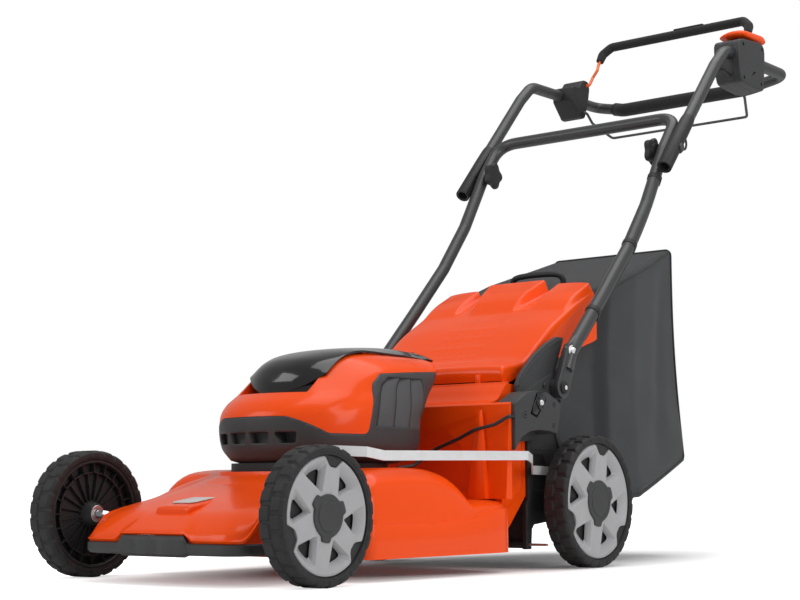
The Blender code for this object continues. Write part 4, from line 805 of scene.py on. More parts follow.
def tread_section(radius, drop):
    """Half a tyre's section: radius, half width, how far both shrink in a groove, and the groove's skew."""
    bead = radius - TYRE_DEPTH
    return [
        (bead, 0.0188, 0.0, 0.0, 0.0),
        (bead + 0.0008, 0.0206, 0.0, 0.0, 0.0),
        (bead + 0.0034, 0.0212, 0.0, 0.0, 0.0),
        (bead + 0.0042, 0.0224, 0.0, 0.0009, 0.0),
        (radius - 0.0046, 0.0225, 0.0, 0.0013, 0.0),
        (radius - 0.0016, 0.0204, drop * 0.5, 0.0008, 0.0),
        (radius - 0.0004, 0.0186, drop * 0.9, 0.0, 0.0),
        (radius, 0.016, drop, 0.0, 0.12),
        (radius, 0.0024, drop, 0.0, 0.12),
        (radius - 0.0015, 0.0012, drop - 0.0015, 0.0, 0.12),
    ]


def tyre(radius, blocks, drop, place):
    """A tyre with two staggered rows of low, stepped blocks."""
    section = tread_section(radius, drop)
    rings = []
    for k, angle in enumerate(turns(blocks * TREAD_STEPS)):
        ring = []
        for row, sign, half in ((0.5, -1, section), (0.0, 1, section[::-1])):
            for r, h, sink, narrow, skew in half:
                low = between(TREAD_PHASES, (k / TREAD_STEPS + row + skew) % 1.0)
                ring.append(place(r - sink * low, angle, sign * (h - narrow * low)))
        rings.append(ring)
    return sharpen(loft("tyre", rings, closed=True), 34.0)


def turned(profile, place, steps=96):
    """A ring-shaped solid from (radius, offset) pairs about a wheel's axle."""
    rings = [[place(r, a, h) for r, h in profile] for a in turns(steps)]
    return sharpen(loft("turned", rings, closed=True), 32.0)


def radial_bar(place, angle, near, far, half, low, high):
    """A thin straight rib pointing away from the axle."""
    rings = []
    for r in (near, far):
        across = half / r
        corners = ((across, low), (-across, low), (-across * 0.6, high), (across * 0.6, high))
        rings.append([place(r, angle + off, height) for off, height in corners])
    return loft("rib", rings)


def rim(radius, ribs, place):
    """The black wheel body: hub, web, barrel, ribbed inner face and three lugs between the trim's arms."""
    outer = radius - TYRE_DEPTH - 0.0003
    ring = 0.755 * outer
    barrel = (
        (outer - 0.0052, -0.018), (outer - 0.004, -0.0193), (outer - 0.0008, -0.0193), (outer, -0.0184),
        (outer, 0.0158), (outer - 0.0006, 0.0164), (outer - 0.005, 0.0164), (outer - 0.005, 0.0),
    )
    web = ((AXLE_BORE, -0.005), (outer - 0.004, -0.003), (outer - 0.004, 0.005), (AXLE_BORE, 0.006))
    inner_ring = ((ring, -0.002), (ring, -0.012), (ring + 0.002, -0.012), (ring + 0.002, -0.002))
    pieces = [turned(profile, place) for profile in (web, barrel, inner_ring)]
    pieces.append(turned(HUB, place, 48))
    for k in range(ribs):
        angle = 2 * math.pi * (k + 0.5) / ribs
        pieces.append(radial_bar(place, angle, 0.019, ring, 0.0009, -0.002, -0.0112))
        pieces.append(radial_bar(place, angle + math.pi / ribs, ring, outer - 0.003, 0.0009, -0.002, -0.015))
    for k in range(3):
        lug = trim_block(LUG, outer - 0.0012, LUG_START + 120 * k, 0.002, 0.0178, place)
        pieces.append(edge_round(lug, 0.0007, 2))
    return merged("rim", pieces)


def trim_block(outline, reach, middle, low, high, place):
    """A block between two offsets along the axle, with an outline in shares of reach along and across."""
    points = []
    for along, across in outline:
        angle = math.radians(middle) + math.atan2(across, along)
        points.append((reach * math.hypot(along, across), angle))
    return loft("block", [[place(r, a, h) for r, a in points] for h in (low, high)])


def window(reach, middle, notch_side, place):
    """A cutter for one pocket, wide at the trim's face and narrow at its floor."""
    face, floor = [], []
    for side in (1, -1):
        near, corner = (18.6, 15.6) if side == notch_side else (19.6, 20.0)
        rim_side = [(0.872, near), (0.945, corner), (0.948, corner * 0.5)]
        hole_side = [(0.745, 11.8), (0.785, 10.6), (0.79, 5.0)]
        face += [(r, side * a) for r, a in rim_side[::side]]
        floor += [(r, side * a) for r, a in hole_side[::side]]
    face += [(0.435, -3.0), (0.415, 0.0), (0.435, 3.0)]
    floor += [(0.515, -2.4), (0.5, 0.0), (0.515, 2.4)]
    rings = []
    for share, height in POCKET_LEVELS:
        ring = []
        for (r0, a0), (r1, a1) in zip(face, floor):
            r, a = r0 + (r1 - r0) * share, a0 + (a1 - a0) * share
            ring.append(place(reach * r, math.radians(middle + a), TRIM_FACE + height))
        rings.append(ring)
    return loft("window", rings)


def trim(radius, place):
    """The silver six-spoke trim with sloping pockets, three notched arms and a chamfered edge."""
    reach = radius - TYRE_DEPTH - TRIM_GAP
    body = disc_stack("trim", [(reach * r, h) for r, h in TRIM_SECTIONS], 144, place)
    cutters = [window(reach, SPOKE_START + 30 + 60 * k, 1 if k % 2 == 0 else -1, place) for k in range(6)]
    for k in range(3):
        cutters.append(trim_block(NOTCH, reach, LUG_START + 120 * k, 0.005, 0.024, place))
    return sharpen(edge_round(carve(body, cutters), 0.00055, 2, 32.0), 40.0)


def hubcap(radius, place):
    """The dark centre cap: a domed disc with three square lobes and a plain raised middle."""
    reach = radius - TYRE_DEPTH - TRIM_GAP
    rings = []
    for share, spread, height in CAP_SECTIONS:
        ring = []
        for angle in range(0, 360, 2):
            off = abs((angle - SPOKE_START + 60) % 120 - 60)
            r = reach * share * (0.365 + 0.08 * spread * between(CAP_LOBE, off))
            ring.append(place(r, math.radians(angle), height))
        rings.append(ring)
    return sharpen(loft("hubcap", rings), 30.0)


class MOWER_OT_wheels(bpy.types.Operator):
    """Build the tyres, rims, trims and hubcaps of the four wheels"""

    bl_idname = "mower.wheels"
    bl_label = "Build Wheels"

    def execute(self, context):
        _, wheels, _, _ = settings()
        for row, y, radius in WHEEL_ROWS:
            blocks = wheels.front_blocks if row == "front" else wheels.rear_blocks
            for side, label in SIDES:
                place = wheel_place(side, y, radius)
                tail = f"_{row}_{label}"
                body = "wheel" + tail
                ready(tyre(radius, blocks, wheels.tread_height, place), "rubber", body, ["tyre" + tail])
                ready(rim(radius, wheels.inner_ribs, place), "black", body, ["rim" + tail])
                ready(trim(radius, place), "silver", body, ["trim" + tail])
                ready(hubcap(radius, place), "charcoal", body, ["hubcap" + tail])
                ready(turned(WASHER, place, 40), "rod_zinc", body).name = "hub_washer" + tail
        return {"FINISHED"}


# Deck


SKIRT_HALF = 0.235
NOSE_HALF = 0.168
NOSE_FRONT = -0.088
NOSE_CORNER = 0.036
ARCH_REAR = 0.124
DECK_REAR = 0.528
DECK_BOTTOM = 0.0335
NOSE_BOTTOM = 0.0608
SEAT_HEIGHT = 0.16
DECK_WALL = 0.004
CREST = (
    (-0.095, 0.078), (-0.07, 0.093), (-0.04, 0.106), (0.05, 0.128), (0.11, 0.15), (0.2, 0.168),
    (0.3, 0.169), (0.35, 0.16), (0.377, 0.146), (0.404, 0.12), (0.43, 0.12), (0.7, 0.12),
)
LEDGE = (
    (-0.1, 0.066), (0.1, 0.07), (0.124, 0.084), (0.3, 0.084),
    (0.38, 0.088), (0.45, 0.104), (0.6, 0.112),
)
SHOULDER_SHARES = (0.08, 0.2, 0.35, 0.5, 0.64, 0.76, 0.86, 0.94, 1.0)
INNER_SHARES = (0.2, 0.5, 0.76, 1.0)
SEAT_RINGS = (
    (0.142, 0.098, 0.42, 0.0, 1.0),
    (0.126, 0.106, 0.41, 0.0, 1.0),
    (0.122, 0.11, 0.406, 0.0012, 1.0),
    (0.118, 0.113, 0.403, 0.005, 0.0),
    (0.113, 0.117, 0.4, 0.0, 0.0),
    (0.088, 0.146, 0.37, 0.0, 0.0),
)
PAD_SECTIONS = (
    (-0.0482, 0.031, 0.103),
    (-0.0478, 0.033, 0.108),
    (-0.0462, 0.0335, 0.112),
    (-0.043, 0.0335, 0.1138),
    (-0.032, 0.0332, 0.1162),
    (0.0, 0.0325, 0.1212),
    (0.04, 0.031, 0.1272),
    (0.07, 0.029, 0.1335),
)
RIDGE = ((0.042, -0.02), (0.054, 0.035), (0.092, 0.108))
BADGE = (
    (-0.018, -0.03), (0.018, -0.03), (0.0245, -0.022), (0.0225, 0.024),
    (0.018, 0.03), (-0.018, 0.03), (-0.0225, 0.024), (-0.0245, -0.022),
)
BADGE_HEIGHT = 0.1224
BUMPER_POINTS = 33
BUMPER_DEPTH = 0.01
BUMPER_POCKET = ((0.0, 0.0), (0.012, 0.0), (0.014, 1.0), (0.034, 1.0), (0.036, 0.0), (1.0, 0.0))


def line(start, end, count):
    """Points from start towards end, without the end itself."""
    return [tuple(a + (b - a) * i / count for a, b in zip(start, end)) for i in range(count)]


def deck_plan(inset, front, rear):
    """Half the deck's plan from the nose's middle to the rear's, always with the same number of points."""
    nose = NOSE_HALF - inset
    skirt = SKIRT_HALF - inset
    arch = ARCH_REAR + inset
    points = []
    for x, _ in line((0, 0), (nose - NOSE_CORNER, 0), 18):
        points.append((x, front + 0.006 * (x / NOSE_HALF) ** 2))
    corner_y = front + 0.0045 + NOSE_CORNER
    points += arc((nose - NOSE_CORNER, corner_y), NOSE_CORNER, -90, 0, 9)
    points += line((nose, corner_y + 0.004), (nose, arch - 0.01), 14)
    points += arc((nose + 0.01, arch - 0.01), 0.01, 180, 90, 5)
    points += line((nose + 0.014, arch), (skirt - 0.02, arch), 5)
    points += arc((skirt - 0.02, arch + 0.02), 0.02, -90, 0, 7)
    points += line((skirt, arch + 0.026), (skirt, rear - 0.08), 34)
    for i in range(15):
        a = math.pi / 2 * i / 15
        x = 0.09 + (skirt - 0.09) * math.cos(a) ** 0.55
        points.append((x, rear - 0.075 + 0.075 * math.sin(a) ** 0.72))
    points += line((0.088, rear), (0.0, rear), 6)
    return [*points, (0.0, rear)]


def mirrored_ring(half):
    """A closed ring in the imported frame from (x, y, z) points on the left half."""
    return placed(half + [(-x, y, z) for x, y, z in reversed(half[1:-1])])


def deck_floor(x, y):
    """Height of the deck's lower edge."""
    if y < -0.068:
        centre = between(((0.0, 1.0), (0.068, 1.0), (0.08, 0.0), (1.0, 0.0)), x)
        return NOSE_BOTTOM + 0.011 * centre
    if x < NOSE_HALF + 0.001 and y < ARCH_REAR - 0.008:
        rise = min(1.0, (y + 0.068) / 0.034)
        return NOSE_BOTTOM + (min(0.104, eased(CREST, y) - 0.012) - NOSE_BOTTOM) * rise
    if y < 0.3:
        return between(((0.168, 0.06), (0.1745, DECK_BOTTOM), (1.0, DECK_BOTTOM)), x)
    return DECK_BOTTOM


def deck_skin(wall):
    """The deck's rings from its lower edge, over the ledge and the rounded shoulder, to the motor's seat."""
    plan = deck_plan(0.0, NOSE_FRONT, DECK_REAR)
    floor = [deck_floor(x, y) for x, y in plan]
    ledge = [max(between(LEDGE, y), z + 0.004) for (x, y), z in zip(plan, floor)]
    rings = []

    def ring(inset, front, rear, height):
        """Adds a ring, where height turns y, the lower edge and the ledge into a height."""
        shape = deck_plan(inset + wall, NOSE_FRONT + front + wall, DECK_REAR - rear - wall)
        half = [(x, y, height(y, low, belt)) for (x, y), low, belt in zip(shape, floor, ledge)]
        rings.append(mirrored_ring(half))

    ring(0.0, 0.004, 0.0, lambda y, low, belt: low)
    ring(0.0, 0.002, 0.0, lambda y, low, belt: low + (belt - low) * 0.5)
    if not wall:
        ring(0.0, 0.0, 0.0, lambda y, low, belt: belt - 0.0016)
        ring(0.0008, 0.0008, 0.0008, lambda y, low, belt: belt - 0.0004)
        ring(0.0034, 0.0026, 0.0034, lambda y, low, belt: belt)
        ring(0.0044, 0.003, 0.0038, lambda y, low, belt: belt + 0.0012)
    for t in INNER_SHARES if wall else SHOULDER_SHARES:
        a = t * math.pi / 2
        share = math.sin(a) ** 0.85

        def height(y, _, belt, share=share):
            return belt + 0.0012 + (eased(CREST, y) - wall * share - belt - 0.0012) * share

        inset = 0.0044 + 0.0426 * (1 - math.cos(a)) ** 0.92
        ring(inset, 0.003 + 0.055 * t**1.7, 0.0038 + 0.052 * t**3, height)
    last = [(point.x, point.y + MIDDLE_Y) for point in rings[-1][: len(plan)]]
    for half_width, front, rear, drop, share in SEAT_RINGS:
        if wall and share:
            continue
        half = []
        for x, y in last:
            across, along = squarish(math.atan2(x / SKIRT_HALF, (y - 0.258) / 0.3), 3)
            py = (front + rear) / 2 + (rear - front) / 2 * along
            top = max(eased(CREST, py), SEAT_HEIGHT - 0.006) - drop if share else SEAT_HEIGHT + drop
            half.append((half_width * across, py, top - wall))
        rings.append(mirrored_ring(half))
    return rings


def nose_pad():
    """The raised pad on the nose that carries the plate."""
    rings = []
    for y, half, high in PAD_SECTIONS:
        section = [(-half - 0.004, eased(CREST, y) - 0.006), (-half - 0.0012, high - 0.004)]
        section += [(-half, high - 0.0014), (-half + 0.0026, high)]
        section += [(0.0, high + 0.0006)] + [(-x, z) for x, z in reversed(section)]
        rings.append([spot(x, y, z) for x, z in section])
    return smoothed(loft("pad", rings), 1)


def nose_ridge(side):
    """The low ridge that runs back from beside the pad."""
    path = [spot(side * x, y, eased(CREST, y) - 0.0012) for x, y in RIDGE]
    return sweep("ridge", curve_points(path), 0.0034, 12, lambda t: math.sin(math.pi * t) ** 0.3, 0.7)


def deck():
    """The moulded deck with its raised nose pad."""
    shell = loft("deck", deck_skin(0.0) + deck_skin(DECK_WALL)[::-1], closed=True)
    slot = rounded("slot", (0.332, 0.0523, 0.0705), spot(0, DECK_REAR - 0.0137, 0.1073), 0.002, 1)
    return merged("deck", [carve(shell, [slot]), nose_pad(), *(nose_ridge(side) for side in (-1, 1))])


def bumper():
    """The dark strip under the nose, with its taller middle and two shallow pockets."""
    outer = deck_plan(0.0, NOSE_FRONT, DECK_REAR)[:BUMPER_POINTS]
    inner = deck_plan(BUMPER_DEPTH, NOSE_FRONT + BUMPER_DEPTH, DECK_REAR)[:BUMPER_POINTS]
    rings = []
    for (x, y), (xi, yi) in zip(outer, inner):
        centre = between(((0.0, 1.0), (0.066, 1.0), (0.074, 0.0), (1.0, 0.0)), x)
        pocket = between(BUMPER_POCKET, x)
        proud = 0.003 * centre + (0.0006 if x < 0.15 else 0.0)
        high = NOSE_BOTTOM - 0.0003 + 0.011 * centre
        low = NOSE_BOTTOM - 0.0175 - 0.0028 * centre
        section = (
            (0.0016, high, 0.0), (0.0, high - 0.0016, 0.0), (-proud * 0.5, high - 0.0052, 0.0),
            (-proud, high - 0.0068, pocket), (-proud, low + 0.007, pocket), (-proud, low + 0.0048, 0.0),
            (0.0022, low + 0.0008, 0.0), (0.005, low, 0.0),
            (BUMPER_DEPTH, low, 0.0), (BUMPER_DEPTH, high, 0.0),
        )
        ring = []
        for depth, z, dent in section:
            t = (depth + 0.0011 * dent) / BUMPER_DEPTH
            ring.append((x + (xi - x) * t, y + (yi - y) * t, z))
        rings.append(ring)
    mirrored = [[(-x, y, z) for x, y, z in ring] for ring in reversed(rings[1:])]
    return sharpen(loft("bumper", [placed(ring) for ring in mirrored + rings]), 35.0)


def nose_plate():
    """The bare plate on the pad, tilted as the pad is."""
    badge = plate("nose_plate", BADGE, -0.0006, 0.0008, "Z", 0.0004, 2)
    tilt = Matrix.Rotation(math.atan2(0.1272 - 0.1162, 0.072), 4, "X")
    badge.data.transform(Matrix.Translation(spot(0.0, 0.0, BADGE_HEIGHT)) @ tilt)
    return badge


class MOWER_OT_deck(bpy.types.Operator):
    """Build the deck, its bumper and the nose plate"""

    bl_idname = "mower.deck"
    bl_label = "Build Deck"

    def execute(self, context):
        ready(deck(), "orange", "chassis", ["deck_shell"])
        ready(bumper(), "charcoal", "chassis", ["front_bumper"])
        ready(nose_plate(), "plate", "chassis")
        return {"FINISHED"}


# Battery housing


HOUSING_RINGS = (
    (0.101, 0.135, 0.385, 0.179),
    (0.112, 0.126, 0.395, 0.1803),
    (0.118, 0.123, 0.4, 0.1835),
    (0.138, 0.113, 0.41, 0.205),
    (0.142, 0.11, 0.412, 0.25),
    (0.141, 0.124, 0.424, 0.272),
    (0.137, 0.152, 0.438, 0.292),
    (0.127, 0.186, 0.47, 0.324),
    (0.107, 0.206, 0.49, 0.346),
    (0.082, 0.222, 0.49, 0.357),
    (0.045, 0.245, 0.47, 0.362),
)
FRONT_POWER, REAR_POWER = 2.15, 5.0
SPLIT = (
    (0.05, 0.25), (0.125, 0.25), (0.17, 0.2235), (0.237, 0.2225), (0.247, 0.262),
    (0.264, 0.305), (0.286, 0.3215), (0.384, 0.329), (0.52, 0.338),
)
BELOW_SPLIT = [(0.52, 0.1), (0.05, 0.1)]
CREASE = ((0.16, 0.262), (0.24, 0.3), (0.3, 0.324), (0.4, 0.337), (0.5, 0.342))
CREASE_STRENGTH = ((0.12, 0.0), (0.2, 1.0), (0.43, 1.0), (0.5, 0.3))
LID_HALF = 0.0735
LID_PROFILE = (
    (0.17, 0.29, 0.032, 0.0),
    (0.1725, 0.313, 0.034, 0.011),
    (0.186, 0.336, 0.032, 0.022),
    (0.214, 0.3515, 0.024, 0.022),
    (0.281, 0.367, 0.008, 0.015),
    (0.4, 0.377, 0.0, 0.018),
    (0.493, 0.3755, 0.0, 0.018),
)
LID_OPENING = (
    (0.08, 0.289), (0.214, 0.289), (0.24, 0.316), (0.44, 0.341),
    (0.52, 0.353), (0.52, 0.42), (0.08, 0.42),
)
LAP_WIDTH = ((0.17, 1.0), (0.3, 0.8), (0.47, 0.0), (0.5, 0.0))
LAP_DEPTH = ((0.17, 1.0), (0.34, 1.0), (0.47, 0.0), (0.5, 0.0))
LID_HINGE_Y = 0.484
PANEL_FRONT = ((0.236, 0.257), (0.262, 0.262), (0.29, 0.272), (0.304, 0.282), (0.3165, 0.302))
PANEL_REAR = ((0.236, 0.386), (0.262, 0.389), (0.29, 0.392), (0.304, 0.392), (0.3165, 0.388))
SLAT = (
    (0.17, 0.0072), (0.19, 0.0058), (0.45, 0.003), (0.75, 0.001),
    (0.9, 0.0004), (0.95, 0.0009), (0.965, 0.003), (0.97, 0.0072),
)
INTAKE_PLACES = (-0.066, -0.022, 0.022, 0.066)


def housing_size(z):
    """Half width, front and rear of the housing at a height."""
    return [eased(column(HOUSING_RINGS, key, 3), z) for key in range(3)]


def housing_form(name, low, high, steps):
    """The housing between two heights, rounder in front than behind."""
    rings = []
    for k in range(steps + 1):
        z = low + (high - low) * k / steps
        half, front, rear = housing_size(z)
        ring = []
        for a in turns(144):
            across, along = squarish(a, REAR_POWER if math.cos(a) > 0 else FRONT_POWER)
            ring.append(spot(half * across, (front + rear) / 2 + (rear - front) / 2 * along, z))
        rings.append(ring)
    return loft(name, rings)


def skin_at(y, z):
    """Half width of the housing at a place on its flank."""
    half, front, rear = housing_size(z)
    middle = (front + rear) / 2
    off = min(1.0, abs(y - middle) / ((rear - front) / 2))
    power = REAR_POWER if y > middle else FRONT_POWER
    return half * (1 - off**power) ** (1 / power)


def softened_split(extra):
    """All below the joint of base and cover, with its corners rounded and moved up by extra."""
    path = rounded_path([(0.0, y, z + extra) for y, z in SPLIT], 0.014, 6)
    return [(p.y, p.z) for p in path] + BELOW_SPLIT


def battery_room():
    """Cutters for the lid's opening and for the bay under it."""
    opening = side_prism("opening", LID_OPENING, LID_HALF + 0.0003)
    return [opening, rounded("bay", (0.091, 0.204, 0.2), spot(0, 0.32, 0.3345), 0.002, 1)]


def intake(x):
    """A cutter for one slot in the front, wider at its top and deeper away from the middle."""
    half = 0.0165 if abs(x) > 0.05 else 0.0185
    outline = [(x - half, 0.2255), (x + half, 0.2255), (x + half * 0.8, 0.2085), (x - half * 0.8, 0.2085)]
    front = 0.113 + 0.148 * (1 - (1 - (abs(x) / 0.138) ** FRONT_POWER) ** (1 / FRONT_POWER)) - MIDDLE_Y
    return plate("intake", outline, front - 0.01, front + 0.01 + 0.12 * abs(x), "Y", 0.0016, 2)


def base():
    """The dark lower housing with its front intake and a framed panel for louvres on each side."""
    body = housing_form("base", 0.179, 0.36, 40)
    body = carve(body, [side_prism("keep", softened_split(0.0), 0.2)], "INTERSECT")
    tools = battery_room() + [intake(x) for x in INTAKE_PLACES] + [side_panel(side) for side in (-1, 1)]
    return carve(body, tools)


def side_panel(side):
    """A cutter for the framed panel, as deep everywhere under the housing's skin."""
    rings = []
    for k in range(17):
        z = 0.236 + 0.0805 * k / 16
        front, rear = between(PANEL_FRONT, z), between(PANEL_REAR, z)
        ring = []
        for i in range(15):
            y = front + (rear - front) * i / 14
            ring.append(spot(side * (skin_at(y, z) - 0.0068), y, z))
        rings.append(ring + [spot(side * 0.16, y, z) for y in (rear + 0.004, front - 0.004)])
    return loft("panel", rings)


def louvre(side, place):
    """One of three wide slats in a side panel, rising from its front edge to a crest behind."""
    rings = []
    for i in range(13):
        z = 0.2362 + 0.08 * i / 12
        front, rear = between(PANEL_FRONT, z) + 0.0006, between(PANEL_REAR, z) - 0.0006
        ring = []
        for share, depth in SLAT:
            y = front + (rear - front) * (place + share) / 3
            ring.append(spot(side * (skin_at(y, z) - depth), y, z))
        rings.append(ring)
    return loft("slat", rings)


def cover():
    """The orange upper housing with a soft crease along its side, posts and a rod for the lid's hinge."""
    body = housing_form("cover", 0.218, 0.362, 48)
    for vertex in body.data.vertices:
        y, z = vertex.co.y + MIDDLE_Y, vertex.co.z
        off = (z - between(CREASE, y)) / 0.013
        depth = 0.003 * between(CREASE_STRENGTH, y) * math.exp(-((off + 1.0) ** 2))
        if abs(vertex.co.x) > 0.06:
            vertex.co.x -= math.copysign(depth, vertex.co.x)
    body = carve(body, [side_prism("below", softened_split(0.0004), 0.2), *battery_room()])
    places = [spot(x, LID_HINGE_Y, 0.35375) for x in (-0.023, 0.023)]
    posts = [rounded("post", (0.008, 0.007, 0.0265), place, 0.001, 2) for place in places]
    rod = axis_disc("hinge", spot(-0.04, LID_HINGE_Y, 0.364), (1, 0, 0), ((0.002, 0.0), (0.002, 0.08)), 20)
    return merged("cover", [body, *posts, rod])


def cover_top(x, y):
    """Height of the cover's outer surface at a place beside its opening, found by halving a range."""
    low, high = 0.285, 0.356
    for _ in range(14):
        middle = (low + high) / 2
        if skin_at(y, middle) > abs(x):
            low = middle
        else:
            high = middle
    return low


def lid_row(y, z, wrap, fall, lapped, count=49):
    """A row across the lid. Lapped rims reach over the cover's edges and follow them."""
    half, drop = LID_HALF, fall
    if lapped:
        half += 0.01 * eased(LAP_WIDTH, y)
        rim = sum(cover_top(half - 0.003, y + wrap + off) for off in (-0.016, -0.008, 0.0, 0.008, 0.016)) / 5
        drop += eased(LAP_DEPTH, y) * (z - rim - 0.006 - fall)
    else:
        z -= 0.0022
    row = []
    for k in range(count):
        share = 2 * k / (count - 1) - 1
        bow = abs(share) ** 2.4
        row.append(spot(half * share, y + wrap * bow, z - drop * bow))
    return row


def lid_sheet(name, lapped, reach, steps=44):
    """The lid's wall, over a share of its length from the front."""
    rows = []
    for k in range(int(steps * reach) + 1):
        t = (k / steps) ** 1.25 * (len(LID_PROFILE) - 1)
        values = [eased([(i, row[key]) for i, row in enumerate(LID_PROFILE)], t) for key in range(4)]
        rows.append(lid_row(*values, lapped))
    shell = walled(loft(name, rows, caps=False, wrap=False), 0.0038, True)
    if shell.data.vertices[len(rows[0]) * 16 + 24].normal.z < 0:
        shell.data.flip_normals()
    return edge_round(shell, 0.0012, 3, 50.0)


def lid():
    """The polished lid: a crowned cap that laps the cover, over an apron in the cover's front notch."""
    shell = merged("lid", [lid_sheet("cap", True, 1.0), lid_sheet("apron", False, 0.52)])
    knuckles = []
    for x in (-0.033, 0.033):
        place = spot(x, LID_HINGE_Y, 0.3665)
        knuckles.append(rounded("knuckle", (0.008, 0.01, 0.014), place, 0.0015, 2))
    return merged("lid", [shell, *knuckles])


def collar():
    """The ring-shaped wall between the deck's seat and the housing."""
    low, high = 0.1603, 0.1787
    outer, inner = (0.101, 0.131, 0.386), (0.0955, 0.1382, 0.3785)
    rings = []
    for a in turns(120):
        across, along = squarish(a, 3)
        ring = []
        for (half, front, rear), z in ((outer, low), (outer, high), (inner, high), (inner, low)):
            ring.append(spot(half * across, (front + rear) / 2 + (rear - front) / 2 * along, z))
        rings.append(ring)
    return sharpen(loft("collar", rings, closed=True))


def housing_screws():
    heads = []
    for side in (-1, 1):
        heads.append(screw("tail_screw", spot(side * 0.06, 0.4905, 0.33), (0, 1, 0), 0.0036))
        heads.append(screw("base_screw", spot(side * 0.09, 0.412, 0.215), (0, 1, 0), 0.0036))
    return merged("housing_screws", heads)


class MOWER_OT_housing(bpy.types.Operator):
    """Build the battery housing, its lid, louvres and collar"""

    bl_idname = "mower.housing"
    bl_label = "Build Battery Housing"

    def execute(self, context):
        slats = [louvre(side, place) for side in (-1, 1) for place in range(3)]
        ready(base(), "charcoal", "chassis", ["housing_base"])
        # The louvres wear the painted-light charcoal, lighter than the housing for the light they catch.
        ready(merged("side_louvres", slats, 34.0), "louvre_painted_light", "chassis")
        ready(cover(), "orange", "chassis", ["housing_cover"])
        ready(lid(), "gloss_black", "battery_lid", ["battery_lid"])
        ready(collar(), "black", "chassis", ["housing_neck"])
        ready(housing_screws(), "dark_steel", "chassis")
        return {"FINISHED"}


# Rear tower, brackets and guard


TOWER_HALF = 0.19
TUNNEL_HALF = 0.176
BRACKET_X = 0.196
CARRIER_X = 0.1862
REAR_PIVOT = (0.713, 0.1113)
PIVOT = (0.674, 0.313)
PIVOT_BORE = 0.0063
HINGE = (0.57, 0.338)
GUARD_ROD = (0.6015, 0.042)
GUARD_BORE = 0.0028
BRACKET_SCREWS = ((0.524, 0.26, 0.0052), (0.612, 0.28, 0.004), (0.61, 0.244, 0.004))
PLATE_SCREWS = ((0.64, 0.316), (0.69, 0.29))
TOWER = (
    (0.478, 0.1203), (0.529, 0.1203), (0.529, 0.072), (0.545, 0.068), (0.6, 0.125), (0.6, 0.3085),
    (0.5975, 0.312), (0.556, 0.3155), (0.5537, 0.316), (0.5533, 0.3184), (0.5525, 0.3192),
    (0.549, 0.3192), (0.548, 0.3184), (0.547, 0.3158), (0.544, 0.314), (0.532, 0.3005),
    (0.52, 0.288), (0.509, 0.2835), (0.4925, 0.28), (0.4895, 0.277),
)
TOWER_HOLLOW = (
    (0.504, 0.15), (0.504, 0.262), (0.56, 0.3), (0.59, 0.3), (0.59, 0.14), (0.545, 0.1),
)
TUNNEL = (
    (0.496, 0.11), (0.533, 0.0785), (0.61, 0.1405), (0.61, 0.298),
    (0.556, 0.303), (0.52, 0.274), (0.5, 0.266),
)
TOWER_RIB = (
    (0.1203, 0.16, 0.2, 0.466, 0.4675),
    (0.16, 0.165, 0.1965, 0.468, 0.469),
    (0.215, 0.1715, 0.1915, 0.4712, 0.472),
    (0.25, 0.176, 0.188, 0.4735, 0.474),
    (0.268, 0.1785, 0.1855, 0.4752, 0.4756),
)
HINGE_PIN = ((0.003, 0), (0.003, 0.0195), (0.0024, 0.0201))
CARRIER = (
    (0.6003, 0.3), (0.6003, 0.119), (0.594, 0.112), (0.594, 0.034), (0.609, 0.034), (0.6115, 0.068),
    (0.618, 0.0755), (0.755, 0.089), (0.78, 0.0925), (0.7855, 0.098), (0.786, 0.114), (0.7835, 0.121),
    (0.765, 0.14), (0.735, 0.185), (0.69, 0.25), (0.66, 0.3),
)
CARRIER_POCKETS = (
    ((0.612, 0.134), (0.612, 0.196), (0.646, 0.196), (0.69, 0.134)),
    ((0.612, 0.206), (0.612, 0.288), (0.652, 0.288), (0.684, 0.24), (0.7, 0.206)),
    ((0.735, 0.104), (0.735, 0.122), (0.757, 0.122), (0.771, 0.106)),
)
BRACKET_FRONT = 0.4953
BRACKET_PLATE = (
    (BRACKET_FRONT, 0.212), (BRACKET_FRONT, 0.275), (0.545, 0.298), (0.585, 0.305), (0.64, 0.33),
    (0.6925, 0.349), (0.697, 0.3475), (0.708, 0.332), (0.709, 0.327), (0.7045, 0.293), (0.702, 0.289),
    (0.66, 0.25), (0.613, 0.22),
)
BRACKET_FLANGE = (
    (BRACKET_FRONT, 0.2), (BRACKET_FRONT, 0.2775), (0.497, 0.2795), (0.528, 0.296), (0.534, 0.2985),
    (0.556, 0.302), (0.592, 0.3), (0.604, 0.296), (0.631, 0.284), (0.6345, 0.279), (0.624, 0.232),
    (0.6215, 0.23), (0.5985, 0.2342), (0.5678, 0.2358), (0.5376, 0.2318), (0.5137, 0.2215), (0.502, 0.2085),
)
BRACKET_FIN = (
    (0.56, 0.29), (0.5585, 0.314), (0.568, 0.33), (0.5867, 0.3465), (0.6135, 0.3685), (0.6485, 0.3895),
    (0.681, 0.4035), (0.687, 0.405), (0.704, 0.405), (0.706, 0.402), (0.68, 0.348), (0.66, 0.31),
)
BRACKET_RAIL = (
    (0.56, 0.312), (0.57, 0.3265), (0.589, 0.3425), (0.616, 0.364), (0.65, 0.3845), (0.699, 0.4045),
    (0.6975, 0.399), (0.652, 0.38), (0.619, 0.3595), (0.5925, 0.3385), (0.5745, 0.3235), (0.565, 0.31),
)
BRACKET_RECESS = ((0.54, 0.262), (0.56, 0.256), (0.588, 0.286), (0.58, 0.304), (0.56, 0.3))
BRACKET_BOSS = ((0.0172, 0.0), (0.0172, 0.01), (0.0162, 0.0113), (0.008, 0.0115))
